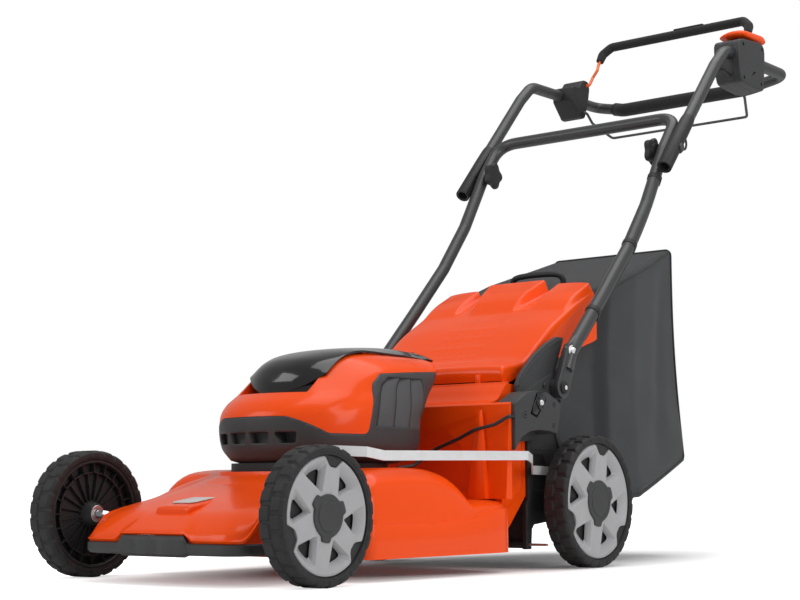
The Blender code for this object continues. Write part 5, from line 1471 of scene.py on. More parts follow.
LOCK_LEVER = (
    (0.5445, 0.264), (0.5485, 0.262), (0.557, 0.2605), (0.5625, 0.2665), (0.5735, 0.2755), (0.583, 0.287),
    (0.582, 0.2945), (0.578, 0.3005), (0.57, 0.2978), (0.562, 0.297), (0.5575, 0.2895), (0.549, 0.279),
)
LOCK_CENTRE = (0.5655, 0.2815)
FLAP_Y = 0.6065
FLAP_SECTIONS = (
    (0.118, 0.003), (0.115, 0.0036), (0.11, 0.003), (0.08, 0.0028),
    (0.06, 0.0028), (0.046, 0.003), (0.038, 0.0038), (0.0352, 0.003),
)


def tower_rib(side):
    """The tapered rib beside the arch."""
    rings = []
    for z, near, far, front, edge in TOWER_RIB:
        middle = (near + far) / 2
        section = ((near, 0.4802), (near + 0.0015, edge + 0.002), (middle - 0.003, front))
        section += ((middle + 0.003, front), (far - 0.0015, edge + 0.002), (far, 0.4802))
        rings.append([spot(side * x, y, z) for x, y in section])
    return loft("rib", rings)


def tower():
    """The orange wall behind the housing: arched face, ribbed sides, the bag's mouth and the hood's ears."""
    body = side_prism("tower", TOWER, SKIRT_HALF)
    tools = []
    for side in (-1, 1):
        wing = spot(side * (TOWER_HALF + 0.05), 0.595, 0.2)
        tools.append(rounded("wing", (0.1, 0.2, 0.4), wing, 0.0015, 1))
        tools.append(sided("hollow", TOWER_HOLLOW, side, TOWER_HALF - 0.0016, TOWER_HALF + 0.01, 0.001, 2))
    tools.append(side_prism("mouth", TUNNEL, TUNNEL_HALF))
    reach = TUNNEL_HALF - 0.016
    arch = [(reach * math.cos(a), 0.15 + 0.115 * math.sin(a)) for a in turns(80)[:41]]
    arch += [(-reach, 0.132), (reach, 0.132)]
    tools.append(plate("arch", arch, 0.47 - MIDDLE_Y, 0.487 - MIDDLE_Y, "Y", 0.0015, 2))
    parts = [carve(body, tools)]
    ear = [(0.566, 0.308), (0.575, 0.308), *arc(HINGE, 0.0058, 0, 180, 16)]
    for side in (-1, 1):
        parts.append(tower_rib(side))
        parts.append(sided("ear", ear, side, 0.1215, 0.1295, 0.0008, 2))
        parts.append(side_disc("pin", side, 0.1235, HINGE, HINGE_PIN))
    return merged("tower", parts, 34.0)


def carrier(side):
    """The side plate that holds the rear shaft, with bores for it and the guard's rod, and three pockets."""
    body = sided("carrier", CARRIER, side, CARRIER_X, BRACKET_X - 0.0003, 0.001, 2)
    tools = [cross_bore(side, CARRIER_X - 0.01, CARRIER_X + 0.03, REAR_PIVOT, 0.00635)]
    tools.append(cross_bore(side, CARRIER_X - 0.01, CARRIER_X + 0.03, GUARD_ROD, GUARD_BORE))
    for pocket in CARRIER_POCKETS:
        tools.append(sided("pocket", pocket, side, CARRIER_X + 0.0068, BRACKET_X + 0.01, 0.0015, 2))
    return sharpen(carve(body, tools), 34.0)


def bracket(side):
    """The folding bracket: plate, boss, upright fin with a rail, and a deep flange with the lock's recess."""

    def slab(outline, near, far, bevel, segments=3):
        return sided("slab", outline, side, BRACKET_X + near, BRACKET_X + far, bevel, segments)

    bores = [cross_bore(side, BRACKET_X - 0.003, BRACKET_X + 0.034, PIVOT, PIVOT_BORE) for _ in range(2)]
    sheet = carve(slab(BRACKET_PLATE, 0.0, 0.0085, 0.0012), bores[:1])
    boss = carve(side_disc("boss", side, BRACKET_X + 0.004, PIVOT, BRACKET_BOSS, 48), bores[1:])
    fin = slab(BRACKET_FIN, 0.0006, 0.0079, 0.0012)
    rail = slab(BRACKET_RAIL, 0.006, 0.0091, 0.0008, 2)
    tools = [slab(BRACKET_RECESS, 0.036, 0.054, 0.002)]
    for y, z, radius in BRACKET_SCREWS:
        tools.append(cross_bore(side, BRACKET_X + 0.0425, BRACKET_X + 0.06, (y, z), radius + 0.0006, 24))
    block = carve(slab(BRACKET_FLANGE, 0.0081, 0.047, 0.003, 4), tools)
    return merged("bracket", [sheet, boss, fin, rail, block], 34.0)


def lock_lever(side):
    """The lever in the bracket's recess, with a star-shaped boss."""
    y, z = LOCK_CENTRE
    lever = sided("lever", LOCK_LEVER, side, BRACKET_X + 0.0363, BRACKET_X + 0.049, 0.0012, 3)
    star = []
    for a in turns(36):
        r = 0.0098 * (1 + 0.22 * math.cos(4 * a))
        star.append((y + r * math.cos(a), z + r * math.sin(a)))
    star = sided("star", star, side, BRACKET_X + 0.048, BRACKET_X + 0.0512, 0.0009, 2)
    return merged("lock", [lever, star])


def flap():
    """The rubber guard, ribbed on its rear face, hanging from its rod."""
    half = CARRIER_X - 0.002
    corners = ((-half, -0.5), (half, -0.5), (half, 0.5), (-half, 0.5))
    rings = [[spot(x, FLAP_Y + share * thick, z) for x, share in corners] for z, thick in FLAP_SECTIONS]
    parts = [loft("sheet", rings)]
    for k in range(13):
        place = spot(-0.168 + 0.028 * k, FLAP_Y + 0.0019, 0.079)
        parts.append(rounded("rib", (0.003, 0.0016, 0.06), place, 0.0006, 2))
    sleeve = ((0.0046, 0.0), (0.0062, 0.0008), (0.0062, 2 * half - 0.0008), (0.0046, 2 * half))
    parts.append(side_disc("sleeve", 1, -half, GUARD_ROD, sleeve, 28))
    return sharpen(carve(merged("flap", parts), [cross_bore(1, -0.2, 0.2, GUARD_ROD, GUARD_BORE)]), 34.0)


def bracket_screws(side):
    """The flange's three screws and the plate's two."""
    places = [(0.0445, *place) for place in BRACKET_SCREWS]
    places += [(0.009, *place, 0.004) for place in PLATE_SCREWS]
    heads = []
    for x, y, z, radius in places:
        heads.append(screw("screw", spot(side * (BRACKET_X + x), y, z), (side, 0, 0), radius))
    return merged("bracket_screws", heads)


class MOWER_OT_rear(bpy.types.Operator):
    """Build the rear tower, side plates, folding brackets, locks and guard"""

    bl_idname = "mower.rear"
    bl_label = "Build Rear Tower"

    def execute(self, context):
        ready(tower(), "orange", "chassis", ["rear_tower"])
        ready(flap(), "rubber", "chassis", ["rear_flap"])
        rod = ((0.0018, 0.0), (0.0025, 0.0007), (0.0025, 0.4673), (0.0018, 0.468))
        ready(side_disc("guard_rod", 1, -0.234, GUARD_ROD, rod, 20), "rod_zinc", "chassis", ["guard_rod"])
        for side, label in SIDES:
            ready(carrier(side), "black", "chassis", ["side_carrier_" + label])
            ready(bracket(side), "charcoal", "chassis", ["fold_bracket_" + label])
            ready(lock_lever(side), "gloss_black", "chassis", ["lock_lever_" + label])
            place = spot(side * (BRACKET_X + 0.052), *LOCK_CENTRE)
            ready(screw("lock_screw_" + label, place, (side, 0, 0), 0.0046), "zinc_with_painted_reflection", "chassis")
            ready(bracket_screws(side), "dark_steel", "chassis").name = "bracket_screws_" + label
        return {"FINISHED"}


# Hood


HOOD_HALF = 0.175
HOOD_WALL = 0.004
HOOD_STATIONS = (
    (0.5562, 0.3215, 0.321, 0.56, 0.319),
    (0.5545, 0.337, 0.335, 0.564, 0.3192),
    (0.559, 0.3475, 0.344, 0.569, 0.3195),
    (0.573, 0.353, 0.3495, 0.578, 0.3205),
    (0.6, 0.3575, 0.353, 0.601, 0.33),
    (0.627, 0.366, 0.36, 0.627, 0.3385),
    (0.666, 0.396, 0.389, 0.666, 0.351),
    (0.715, 0.434, 0.427, 0.715, 0.3665),
    (0.765, 0.464, 0.457, 0.765, 0.382),
    (0.793, 0.479, 0.472, 0.793, 0.3905),
    (0.815, 0.49, 0.483, 0.815, 0.3975),
    (0.86, 0.511, 0.504, 0.86, 0.412),
)
HOOD_FRONT, HOOD_REAR = 0.5545, 0.86
HOOD_STEPS = 118
PAD_SWELL = ((0.0, 0.0), (0.768, 0.0), (0.793, 0.015), (0.815, 0.021), (0.86, 0.025), (1.0, 0.03))
PAD_FLARE = ((0.0, 0.044), (0.77, 0.044), (0.86, 0.064))
SIDE_PAD = (HOOD_HALF * 0.485, HOOD_HALF * 0.975)
GRID_HALF, GRID_FRONT, GRID_REAR = 0.062, 0.585, 0.742
GRID_CELL = (0.024, 0.0245)
HOOD_LUG = ((0.5655, 0.3325), (0.5745, 0.3325), (0.5745, 0.3515), (0.5655, 0.348))


def softly(stations, at, reach):
    """Value between stations, with each corner rounded over a short reach."""
    return sum(between(stations, at + reach * step) for step in (-1.0, -0.5, 0.0, 0.5, 1.0)) / 5


def hood_pads(x, y):
    """Height of the raised pads above the hood's skin: one in the middle and one near each side."""
    flare = between(PAD_FLARE, y)
    middle = softly(((-1.0, 1.0), (flare, 1.0), (flare + 0.009, 0.0), (1.0, 0.0)), x, 0.0014)
    low, high = SIDE_PAD
    flat = ((0.0, 0.0), (low, 0.0), (low + 0.009, 0.62), (high - 0.007, 0.62), (high, 0.0), (1.0, 0.0))
    return softly(PAD_SWELL, y, 0.003) * max(middle, softly(flat, x, 0.0016))


def hood_embossing(x, y):
    """A plain shallow grid of ridges on the hood's front, with its corners softened."""
    if not GRID_FRONT < y < GRID_REAR or x > GRID_HALF:
        return 0.0
    wide, long = GRID_CELL
    u, v = (x + 0.06) / wide, (y - GRID_FRONT - 0.005) / long
    away = min(abs(u - round(u)) * wide, abs(v - round(v)) * long)
    ridge = max(0.0, 1 - away / 0.0034)
    fade = min(1.0, (GRID_HALF - x) / 0.004, (y - GRID_FRONT) / 0.004, (GRID_REAR - y) / 0.004)
    return 0.0011 * ridge * max(0.0, fade)


def hood_row(station, relief, count=96):
    """Half a row across the hood, from the middle to its lower side edge."""
    y, crown, edge, low_y, low_z = station
    points = []
    for i in range(count + 1):
        x = HOOD_HALF * (i / count) ** 0.93
        share = (x / HOOD_HALF) ** 6
        z = crown * (1 - share) + edge * share
        if relief:
            round_off = max(0.0, x - (HOOD_HALF - 0.006)) / 0.006
            z += hood_pads(x, y) + hood_embossing(x, y)
            z -= 0.0055 * (1 - math.sqrt(max(0.0, 1 - round_off**2)))
        points.append((x, y, z))
    top = points[-1][2]
    for t in (0.12, 0.3, 0.5, 0.7, 0.88, 1.0):
        points.append((HOOD_HALF, y + (low_y - y) * t, top + (low_z - top) * t))
    return points


def hood_rows():
    """Half rows from the front lip over the hood's length and round its rear edge."""
    rows = []
    for t in (0.0, 0.34, 0.67):
        lip = [a + (b - a) * t for a, b in zip(*HOOD_STATIONS[:2])]
        rows.append(hood_row(lip, False))
    for k in range(HOOD_STEPS + 1):
        t = k / HOOD_STEPS
        y = HOOD_FRONT + (HOOD_REAR - HOOD_FRONT) * (0.55 * t + 0.45 * t**1.6)
        station = [eased(column(HOOD_STATIONS[1:], key), y) for key in range(1, 5)]
        rows.append(hood_row([y, *station], True))
    last = rows[-1]
    for drop, along in ((0.0022, 0.0012), (0.0052, 0.004), (0.008, 0.006)):
        rows.append([(x, y + along, z - (drop if z > 0.42 else -drop / 2)) for x, y, z in last])
    return rows


def hood():
    """The moulded hood with its barrel top, three raised pads, embossed grid, side walls and hinge lugs."""
    rows = [placed([(-x, y, z) for x, y, z in reversed(half[1:])] + half) for half in hood_rows()]
    shell = outward(walled(loft("hood", rows, caps=False, wrap=False), HOOD_WALL))
    tools = []
    lugs = []
    for side in (-1, 1):
        tools.append(rounded("notch", (0.0096, 0.014, 0.0235), spot(side * 0.1255, 0.557, 0.322), 0.001, 1))
        lug = sided("lug", HOOD_LUG, side, 0.1325, 0.1395, 0.0008, 2)
        lugs.append(carve(lug, [cross_bore(side, 0.13, 0.142, HINGE, 0.0033, 24)]))
    return merged("hood", [outward(carve(shell, tools)), *lugs], 46.0)


class MOWER_OT_hood(bpy.types.Operator):
    """Build the hood over the bag's mouth"""

    bl_idname = "mower.hood"
    bl_label = "Build Hood"

    def execute(self, context):
        ready(hood(), "orange", "rear_hood", ["rear_hood"])
        return {"FINISHED"}


# Grass bag


BAG_TOP = 0.627
BAG_LOW = 0.193
BAG_FRONT = 0.6003
BAG_REAR = 1.2135
BAG_LEAN = 0.0365
LEAN_START = 1.1
BAG_STATIONS = (
    (0.6003, 0.168, 0.13, 0.314, 0.03),
    (0.6135, 0.168, 0.13, 0.314, 0.03),
    (0.66, 0.1685, 0.128, 0.37, 0.03),
    (0.72, 0.1685, 0.126, 0.42, 0.03),
    (0.78, 0.1685, 0.124, 0.457, 0.03),
    (0.87, 0.1685, 0.118, 0.497, 0.03),
    (0.9, 0.185, 0.1175, 0.518, 0.028),
    (1.0, 0.185, 0.117, 0.556, 0.024),
    (1.1, 0.168, 0.145, 0.5895, 0.022),
    (1.2135, 0.142, 0.193, 0.627, 0.012),
)
ROUND_STEPS = 8
SIDE_STEPS = 22
SIDE_POINTS = ROUND_STEPS + SIDE_STEPS
RIM_SECTIONS = ((0.0008, 0.0), (0.0, 0.001), (0.0, 0.0105), (0.0012, 0.0117))
BAG_HANDLE = ((-0.06, 0.935, 0.5335), (-0.057, 0.93, 0.55), (-0.04, 0.926, 0.556), (0.0, 0.925, 0.5575))


def inside(value):
    """A share held between 0 and 1."""
    return min(1.0, max(0.0, value))


def bag_size(y):
    """Half width, lower and upper height, and corner radius of the bag at a place along its length."""
    return [between(column(BAG_STATIONS, key), y) for key in range(1, 5)]


def bag_lean(z):
    """How far the rear face stands behind its top edge at a height."""
    drop = (BAG_TOP - z) / (BAG_TOP - BAG_LOW)
    return BAG_LEAN * drop - 0.013 * math.sin(math.pi * inside(drop))


def corner_centres(half, low, high, corner):
    """Centre and first angle of each corner's arc, from the lower one at +X upwards and round."""
    across, down, up = half - corner, low + corner, high - corner
    return ((across, down, -90), (across, up, 0), (-across, up, 90), (-across, down, 180))


def bag_outline(y, inset=0.0, lean=None):
    """A rounded upright ring of the bag as (x, y, z, share), where share runs from 0 to 4 along it."""
    half, low, high, radius = bag_size(y)
    c = radius - inset / 2
    corners = corner_centres(half - inset, low + inset, high - inset, c)
    if lean is None:
        lean = max(0.0, (y - LEAN_START) / (BAG_REAR - LEAN_START))
    points = []
    for k, (cx, cz, start) in enumerate(corners):
        points += [(x, z, k) for x, z in arc((cx, cz), c, start, start + 90, ROUND_STEPS)]
        nx, nz, turn = corners[(k + 1) % 4]
        x0, z0 = points[-1][:2]
        x1, z1 = nx + c * math.cos(math.radians(turn)), nz + c * math.sin(math.radians(turn))
        for i in range(1, SIDE_STEPS):
            t = i / SIDE_STEPS
            points.append((x0 + (x1 - x0) * t, z0 + (z1 - z0) * t, k + t))
    return [(x, y + lean * bag_lean(z), z, share) for x, z, share in points]


def fold(value, centre, width):
    return math.exp(-(((value - centre) / width) ** 2))


def bag_sink(side, u, v):
    """How far a panel sinks: side 0 or 2 for the flanks, 1 for the top, 3 for the base; u along, v across."""
    calm = math.sin(math.pi * inside(u)) ** 0.7 * math.sin(math.pi * v) ** 0.6
    if side in (0, 2):
        high = v if side == 0 else 1 - v
        crease = 0.55 * fold(u - 0.1 * high, 0.8, 0.05) * math.sin(math.pi * high) ** 0.8
        slack = 0.5 * fold(u + 0.55 * high, 1.02, 0.07) * fold(high, 0.22, 0.2)
        wrinkle = 0.13 * math.sin(23 * u + 7 * high) * math.sin(5 * u + 19 * high)
        return calm * (0.62 + 0.38 * u) + crease - slack + wrinkle * calm
    if side == 1:
        return calm * (0.45 + 0.2 * math.sin(9 * u + 3 * v))
    return -0.5 * calm


def bag_rings(inset, sag, steps=74):
    """Rings of the bag from its mouth to its rear edge, hanging slack between its seams."""
    rings = []
    for k in range(steps + 1):
        y = BAG_FRONT + (BAG_REAR - BAG_FRONT) * k / steps
        u = (y - 0.63) / (BAG_REAR - 0.63)
        ring = []
        for x, along, z, share in bag_outline(y, inset):
            side, v = int(share) % 4, share - int(share)
            sink = sag * bag_sink(side, u, v) if u > 0 and v > 0 else 0.0
            dx, dz = ((-1, 0), (0, -1), (1, 0), (0, 1))[side]
            ring.append(spot(x + dx * sink, along, z + dz * sink))
        rings.append(ring)
    return rings


def bag_face(inset, sag, steps=9):
    """Rings that close the bag's rear, sinking a little between its edges."""
    rings = []
    _, low, high, _ = bag_size(BAG_REAR)
    middle = (low + high) / 2
    for k in range(1, steps + 1):
        t = 1 - k / steps
        ring = []
        for x, _, z, _ in bag_outline(BAG_REAR, inset):
            z = middle + (z - middle) * t
            belly = 0.35 * fold(z, 0.33, 0.06) - 0.62 * fold(z, 0.5, 0.1)
            depth = sag * min(1.0, (1 - t) * 3.0) * belly
            ring.append(spot(x * t, BAG_REAR + bag_lean(z) - inset + depth, z))
        rings.append(ring)
    return rings


def bag_shell():
    """The sewn bag: an outer cloth and its inside, open at the mouth."""
    _, _, bag, _ = settings()
    outer, inner = (bag_rings(inset, bag.sag) + bag_face(inset, bag.sag) for inset in (0.0, bag.cloth))
    shell = loft("bag", inner[::-1] + outer, caps=False)
    bm = bmesh.new()
    bm.from_mesh(shell.data)
    bmesh.ops.remove_doubles(bm, verts=bm.verts, dist=0.00002)
    rim = [edge for edge in bm.edges if edge.is_boundary]
    if rim:
        bmesh.ops.bridge_loops(bm, edges=rim)
    bmesh.ops.recalc_face_normals(bm, faces=bm.faces)
    bm.to_mesh(shell.data)
    bm.free()
    return shell


def seam_path(corner, aside, start, stop, steps):
    """Points along one of the bag's long edges, a number of ring points aside from its corner."""
    pick = (corner * SIDE_POINTS + ROUND_STEPS // 2 + aside) % (4 * SIDE_POINTS)
    points = []
    for k in range(steps + 1):
        y = start + (stop - start) * k / steps
        points.append(spot(*bag_outline(y, -0.0002)[pick][:3]))
    return points


def bag_trim():
    """Piping along the long edges and round the rear, thicker along the bottom edges."""
    parts = []
    for corner in range(4):
        radius = 0.0044 if corner in (0, 3) else 0.0024
        parts.append(sweep("piping", seam_path(corner, 0, 0.622, BAG_REAR, 70), radius, 10))
    rear = [spot(*point[:3]) for point in bag_outline(BAG_REAR - 0.0006, -0.0004, 1.0)]
    parts.append(sweep("piping", rear + rear[:2], 0.0026, 10))
    return merged("piping", parts)


def stitch_rows():
    """Short raised stitches on both sides of the long seams."""
    parts = []
    for corner in range(4):
        for aside in (-3, 3):
            points = seam_path(corner, aside, 0.628, BAG_REAR - 0.006, 180)
            for a, b in list(zip(points, points[1:]))[::2]:
                if (b - a).length > 0.0005:
                    parts.append(sweep("stitch", [a, b], 0.00045, 4))
    return merged("stitches", parts)


def rim_ring(half, low, high, corner, y):
    """A rounded upright ring of points for the rim."""
    points = []
    centres = corner_centres(half, low, high, corner)
    for cx, cz, start in centres[1:] + centres[:1]:
        points += arc((cx, cz), corner, start, start + 90, ROUND_STEPS)
    return [spot(x, y, z) for x, z in points]


def bag_rim():
    """The stiff rim round the mouth, with a rolled outer edge."""
    rings = []
    for inset, depth in RIM_SECTIONS:
        rings.append(rim_ring(0.175 - inset, 0.1265 + inset, 0.316 - inset, 0.02, BAG_FRONT + depth))
    rings += [rim_ring(0.1687, 0.1293, 0.3147, 0.03, BAG_FRONT + depth) for depth in (0.0117, 0.0)]
    return sharpen(loft("rim", rings, closed=True))


def carry_handle():
    """The webbing-covered grab handle on top, with flat sewn feet."""
    path = [*BAG_HANDLE, *((-x, y, z) for x, y, z in reversed(BAG_HANDLE[:-1]))]
    parts = [sweep("handle", curve_points(placed(path), 10), 0.0058)]
    for side in (-1, 1):
        foot = rounded("foot", (0.024, 0.03, 0.0022), (0, 0, 0), 0.0009, 2)
        tilt = Matrix.Rotation(math.radians(21), 4, "X")
        foot.data.transform(Matrix.Translation(spot(side * 0.06, 0.937, 0.5335)) @ tilt)
        parts.append(foot)
    return merged("handle", parts)


class MOWER_OT_bag(bpy.types.Operator):
    """Build the woven grass bag with its sag, seams, rim and handle"""

    bl_idname = "mower.bag"
    bl_label = "Build Grass Bag"

    def execute(self, context):
        ready(bag_shell(), "cloth", "grass_bag", ["grass_bag"])
        ready(bag_trim(), "binding", "grass_bag")
        ready(stitch_rows(), "thread", "grass_bag")
        ready(bag_rim(), "black", "grass_bag", ["bag_frame"])
        ready(carry_handle(), "black", "grass_bag", ["bag_handle"])
        return {"FINISHED"}


# Handle


LOWER_X = 0.218
UPPER_X = 0.2435
CLAMP_X = 0.206
KNOB = (1.057, 0.802)
BOLT_BORE = 0.0043
UPPER_END = (1.014, 0.758)
SLEEVE_END = (1.115, 0.8716)
LEVEL_FRONT = (1.282, 1.048)
LEVEL_REAR = (1.568, 1.052)
UPPER_ROUTE = (UPPER_END, (1.102, 0.857), (1.237, 1.008), LEVEL_FRONT, LEVEL_REAR)
GRIP = (1.545, 1.03)
REAR_LIMIT = 0.8385
TUBE_RADIUS = 0.0125
TUBE_BORE = 0.0128
START_PIVOT = (1.46, 1.08)
DRIVE_PIVOT = (1.44, 1.012)
LOWER_ROUTE = (
    (0.69, 0.346), (0.707, 0.38), (0.809, 0.482), (0.91, 0.586), (0.985, 0.682), KNOB, (1.117, 0.88),
)
FOOT = (
    *arc(PIVOT, 0.019, 155, 336, 24), (0.712, 0.352), (0.718, 0.37), (0.7225, 0.386), (0.719, 0.396),
    (0.711, 0.3985), (0.696, 0.393), (0.686, 0.38), (0.678, 0.362),
)
FOOT_BOLT = (0.701, 0.38)
SLEEVE_PAD = ((0.0118, 0.0), (0.0118, 0.004), (0.0108, 0.0048))
GRIP_RING = ((0.015, -0.0016), (0.0156, -0.0009), (0.0156, 0.0009), (0.015, 0.0016))
BOX_ARM = (
    (1.305, 1.025), (1.308, 1.005), (1.314, 0.99), (1.32, 0.9855), (1.35, 0.982),
    (1.4, 0.98), (1.43, 0.9855), (1.45, 0.993), (1.4555, 0.998), (1.464, 1.015),
    (1.47, 1.03), (1.4725, 1.05), (1.474, 1.075), (1.472, 1.086), (1.466, 1.092), (1.456, 1.094),
    (1.44, 1.094), (1.385, 1.089), (1.33, 1.082), (1.315, 1.078), (1.308, 1.074), (1.305, 1.066),
)
BOX_SHELL = (
    (1.305, 1.025), (1.308, 1.005), (1.314, 0.99), (1.32, 0.9855), (1.35, 0.982), (1.395, 0.9802),
    (1.408, 0.9825), (1.415, 0.989), (1.419, 1.0), (1.425, 1.045), (1.426, 1.07), (1.423, 1.08),
    (1.416, 1.086), (1.405, 1.0872), (1.385, 1.086), (1.33, 1.081), (1.315, 1.0775), (1.308, 1.074),
    (1.305, 1.066),
)
BOX_SCREWS = ((1.324, 0.996), (1.404, 0.996), (1.324, 1.068), (1.412, 1.074))
BOX_SLOT = ((1.362, 1.006), (1.376, 1.014), (1.378, 1.0185), (1.372, 1.0175), (1.36, 1.01))
CLAMP = (
    (1.396, 1.036), (1.4, 1.031), (1.424, 1.006), (1.429, 1.0), (1.436, 0.998), (1.444, 0.9985),
    (1.45, 1.001), (1.454, 1.008), (1.462, 1.03), (1.469, 1.052), (1.473, 1.072), (1.4725, 1.082),
    (1.468, 1.09), (1.46, 1.0922), (1.45, 1.092), (1.443, 1.089), (1.428, 1.071), (1.4, 1.0685),
    (1.396, 1.065),
)
CLAMP_SCREWS = ((1.435, 1.018), (1.456, 1.079))
LEVER_SECTIONS = (
    (0.1965, 1.0935, 1.0985, 1.352, 1.446),
    (0.1985, 1.0915, 1.101, 1.344, 1.452),
    (0.206, 1.09, 1.104, 1.336, 1.456),
    (0.22, 1.0885, 1.1085, 1.332, 1.458),
    (0.24, 1.088, 1.11, 1.332, 1.456),
    (0.256, 1.0885, 1.108, 1.336, 1.45),
    (0.261, 1.09, 1.105, 1.342, 1.444),
    (0.2635, 1.0925, 1.1005, 1.352, 1.436),
)
KNOB_SECTIONS = (
    (0.6, 0.0, 0), (0.6, 0.004, 0), (0.94, 0.006, 1), (1.0, 0.0078, 1), (1.0, 0.013, 1),
    (0.95, 0.0158, 1), (0.84, 0.017, 1), (0.3, 0.0172, 0),
)
KNOB_RADIUS = 0.0262
START_ROUTE = (
    (0.215, *START_PIVOT), (0.1985, *START_PIVOT), (0.1985, 1.476, 1.102), (0.186, 1.477, 1.118),
    (0.193, 1.493, 1.134), (0.19, 1.509, 1.163), (0.172, 1.52, 1.18),
)
DRIVE_ROUTE = (
    (0.215, *DRIVE_PIVOT), (0.196, *DRIVE_PIVOT), (0.196, 1.466, 0.99), (0.174, 1.52, 0.96),
)
PIVOT_SHAFT = ((0.0054, 0), (0.006, 0.0006), (0.006, 0.029))
PIVOT_HEAD = (
    (0.005, 0.0), (0.011, 0.0), (0.011, 0.0018), (0.01, 0.003),
    (0.0058, 0.0036), (0.0054, 0.0036), (0.005, 0.0024),
)
PIVOT_END = ((0.0046, 0.0), (0.0046, 0.0016), (0.0038, 0.0022))
FOOT_WASHER = ((0.01, 0.0), (0.01, 0.0012), (0.0094, 0.0016))
FOOT_HEXAGON = ((0.0064, 0.0), (0.0064, 0.0036), (0.0054, 0.0046))
CLAMP_SHANK = ((0.0034, 0), (0.004, 0.0006), (0.004, 0.0655))
CLAMP_NUT = ((0.0085, 0), (0.009, 0.0004), (0.009, 0.0042), (0.008, 0.005))


def tube_bore(side, x, place, radius):
    """A cutter across a tube whose middle stands at x."""
    return cross_bore(side, x - 0.02, x + 0.02, place, radius)


def foot_neck(side):
    """The tapered part between a flattened foot and the round tube."""
    rings = []
    for t in range(9):
        share = t / 8
        y, z = 0.7 + 0.03 * share, 0.372 + 0.03 * share
        wide, thick = 0.018 - 0.005 * share, 0.0058 + 0.007 * share
        ring = []
        for a in turns(24):
            off = wide * math.sin(a) * 0.707
            ring.append(spot(side * LOWER_X + thick * math.cos(a), y - off, z + off))
        rings.append(ring)
    return loft("neck", rings)


def lower_frame():
    """The lower U-shaped tube: pressed flat at its drilled feet, round above them."""
    path = rounded_path(mirrored_path([spot(LOWER_X, *place) for place in LOWER_ROUTE]), 0.055, 10)
    bores = [tube_bore(side, LOWER_X, KNOB, BOLT_BORE) for side in (-1, 1)]
    parts = [carve(sweep("lower", path, TUBE_RADIUS, 32), bores)]
    for side in (-1, 1):
        foot = sided("foot", FOOT, side, LOWER_X - 0.006, LOWER_X + 0.006, 0.0016, 3)
        parts.append(carve(foot, [tube_bore(side, LOWER_X, PIVOT, PIVOT_BORE)]))
        parts.append(foot_neck(side))
    return merged("lower", parts, 40.0)


def upper_route():
    """The upper tube's centre line from the left end to the right one."""
    side = [spot(UPPER_X, *place) for place in UPPER_ROUTE]
    side += [spot(UPPER_X - 0.0615, 1.559, 1.038), spot(UPPER_X - 0.0855, *GRIP)]
    return rounded_path(mirrored_path(side), 0.05, 12)


def upper_frame():
    """The upper tube with its bored and hollow lower ends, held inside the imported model's rear limit."""
    tools = [tube_bore(side, UPPER_X, KNOB, BOLT_BORE) for side in (-1, 1)]
    ahead = Vector((0, 0.088, 0.099)).normalized()
    for side in (-1, 1):
        start = spot(side * UPPER_X, *UPPER_END) - ahead * 0.001
        tools.append(axis_disc("mouth", start, ahead, ((0.0105, 0.0), (0.0105, 0.03)), 32))
    body = carve(sweep("upper", upper_route(), TUBE_RADIUS, 32), tools)
    for vertex in body.data.vertices:
        vertex.co.y = min(vertex.co.y, REAR_LIMIT)
    return sharpen(body, 40.0)


def sleeve(side):
    """The moulded sleeve on the upper tube's lower end, bored for the bolt, with an open cable loop."""
    start = spot(side * UPPER_X, *UPPER_END)
    along = spot(side * UPPER_X, *SLEEVE_END) - start
    ahead, length = along.normalized(), along.length
    sections = ((0.0128, -0.0012), (0.0142, -0.0012), (0.015, 0.0), (0.015, length * 0.72))
    sections += ((0.0144, length * 0.94), (0.0134, length), (0.0128, length))
    hollow = ((0.01265, 0.0), (0.01265, length + 0.02))
    shells = []
    for shell in (
        axis_disc("sleeve", start, ahead, sections, 40),
        side_disc("pad", side, UPPER_X + 0.008, KNOB, SLEEVE_PAD, 32),
    ):
        bore = axis_disc("bore", start - ahead * 0.01, ahead, hollow, 40)
        shells.append(carve(shell, [bore, tube_bore(side, UPPER_X, KNOB, BOLT_BORE)]))
    body = merged("sleeve", shells)
    for vertex in body.data.vertices:
        vertex.co.x = side * max(side * vertex.co.x, UPPER_X - 0.0126)
    ring = []
    for k in range(25):
        a = math.radians(205 + 310 * k / 24)
        ring.append(spot(side * UPPER_X, 1.095 + 0.0105 * math.cos(a), 0.819 + 0.013 * math.sin(a)))
    return merged("sleeve", [body, sweep("loop", ring, 0.0022, 12)], 40.0)


def grip():
    """The foam grip, carried on round both bends, with fine rings near its ends."""
    route = [point for point in upper_route() if abs(point.x) < 0.206 and point.y + MIDDLE_Y > 1.5]
    count = len(route) - 1
    body = sweep("grip", route, 0.0155, 36, lambda t: 0.9 + 0.1 * min(1.0, min(t, 1 - t) * count / 2.0))
    before = route[0] - (route[1] - route[0]).normalized() * 0.01
    after = route[-1] + (route[-1] - route[-2]).normalized() * 0.01
    rings = []
    for side in (1, -1):
        for k in range(4):
            place = spot(side * (0.118 + 0.006 * k), *GRIP)
            rings.append(axis_disc("ring", place, (1, 0, 0), GRIP_RING, 40))
    bore = sweep("bore", [before, *route, after], TUBE_BORE, 36)
    return merged("grip", [carve(body, [bore]), *rings], 50.0)


def level_bore(side):
    """A cutter along the upper tube's level run."""
    start = spot(side * UPPER_X, *LEVEL_FRONT)
    ahead = (spot(side * UPPER_X, *LEVEL_REAR) - start).normalized()
    return axis_disc("bore", start, ahead, ((TUBE_BORE, 0.0), (TUBE_BORE, 0.29)), 40)


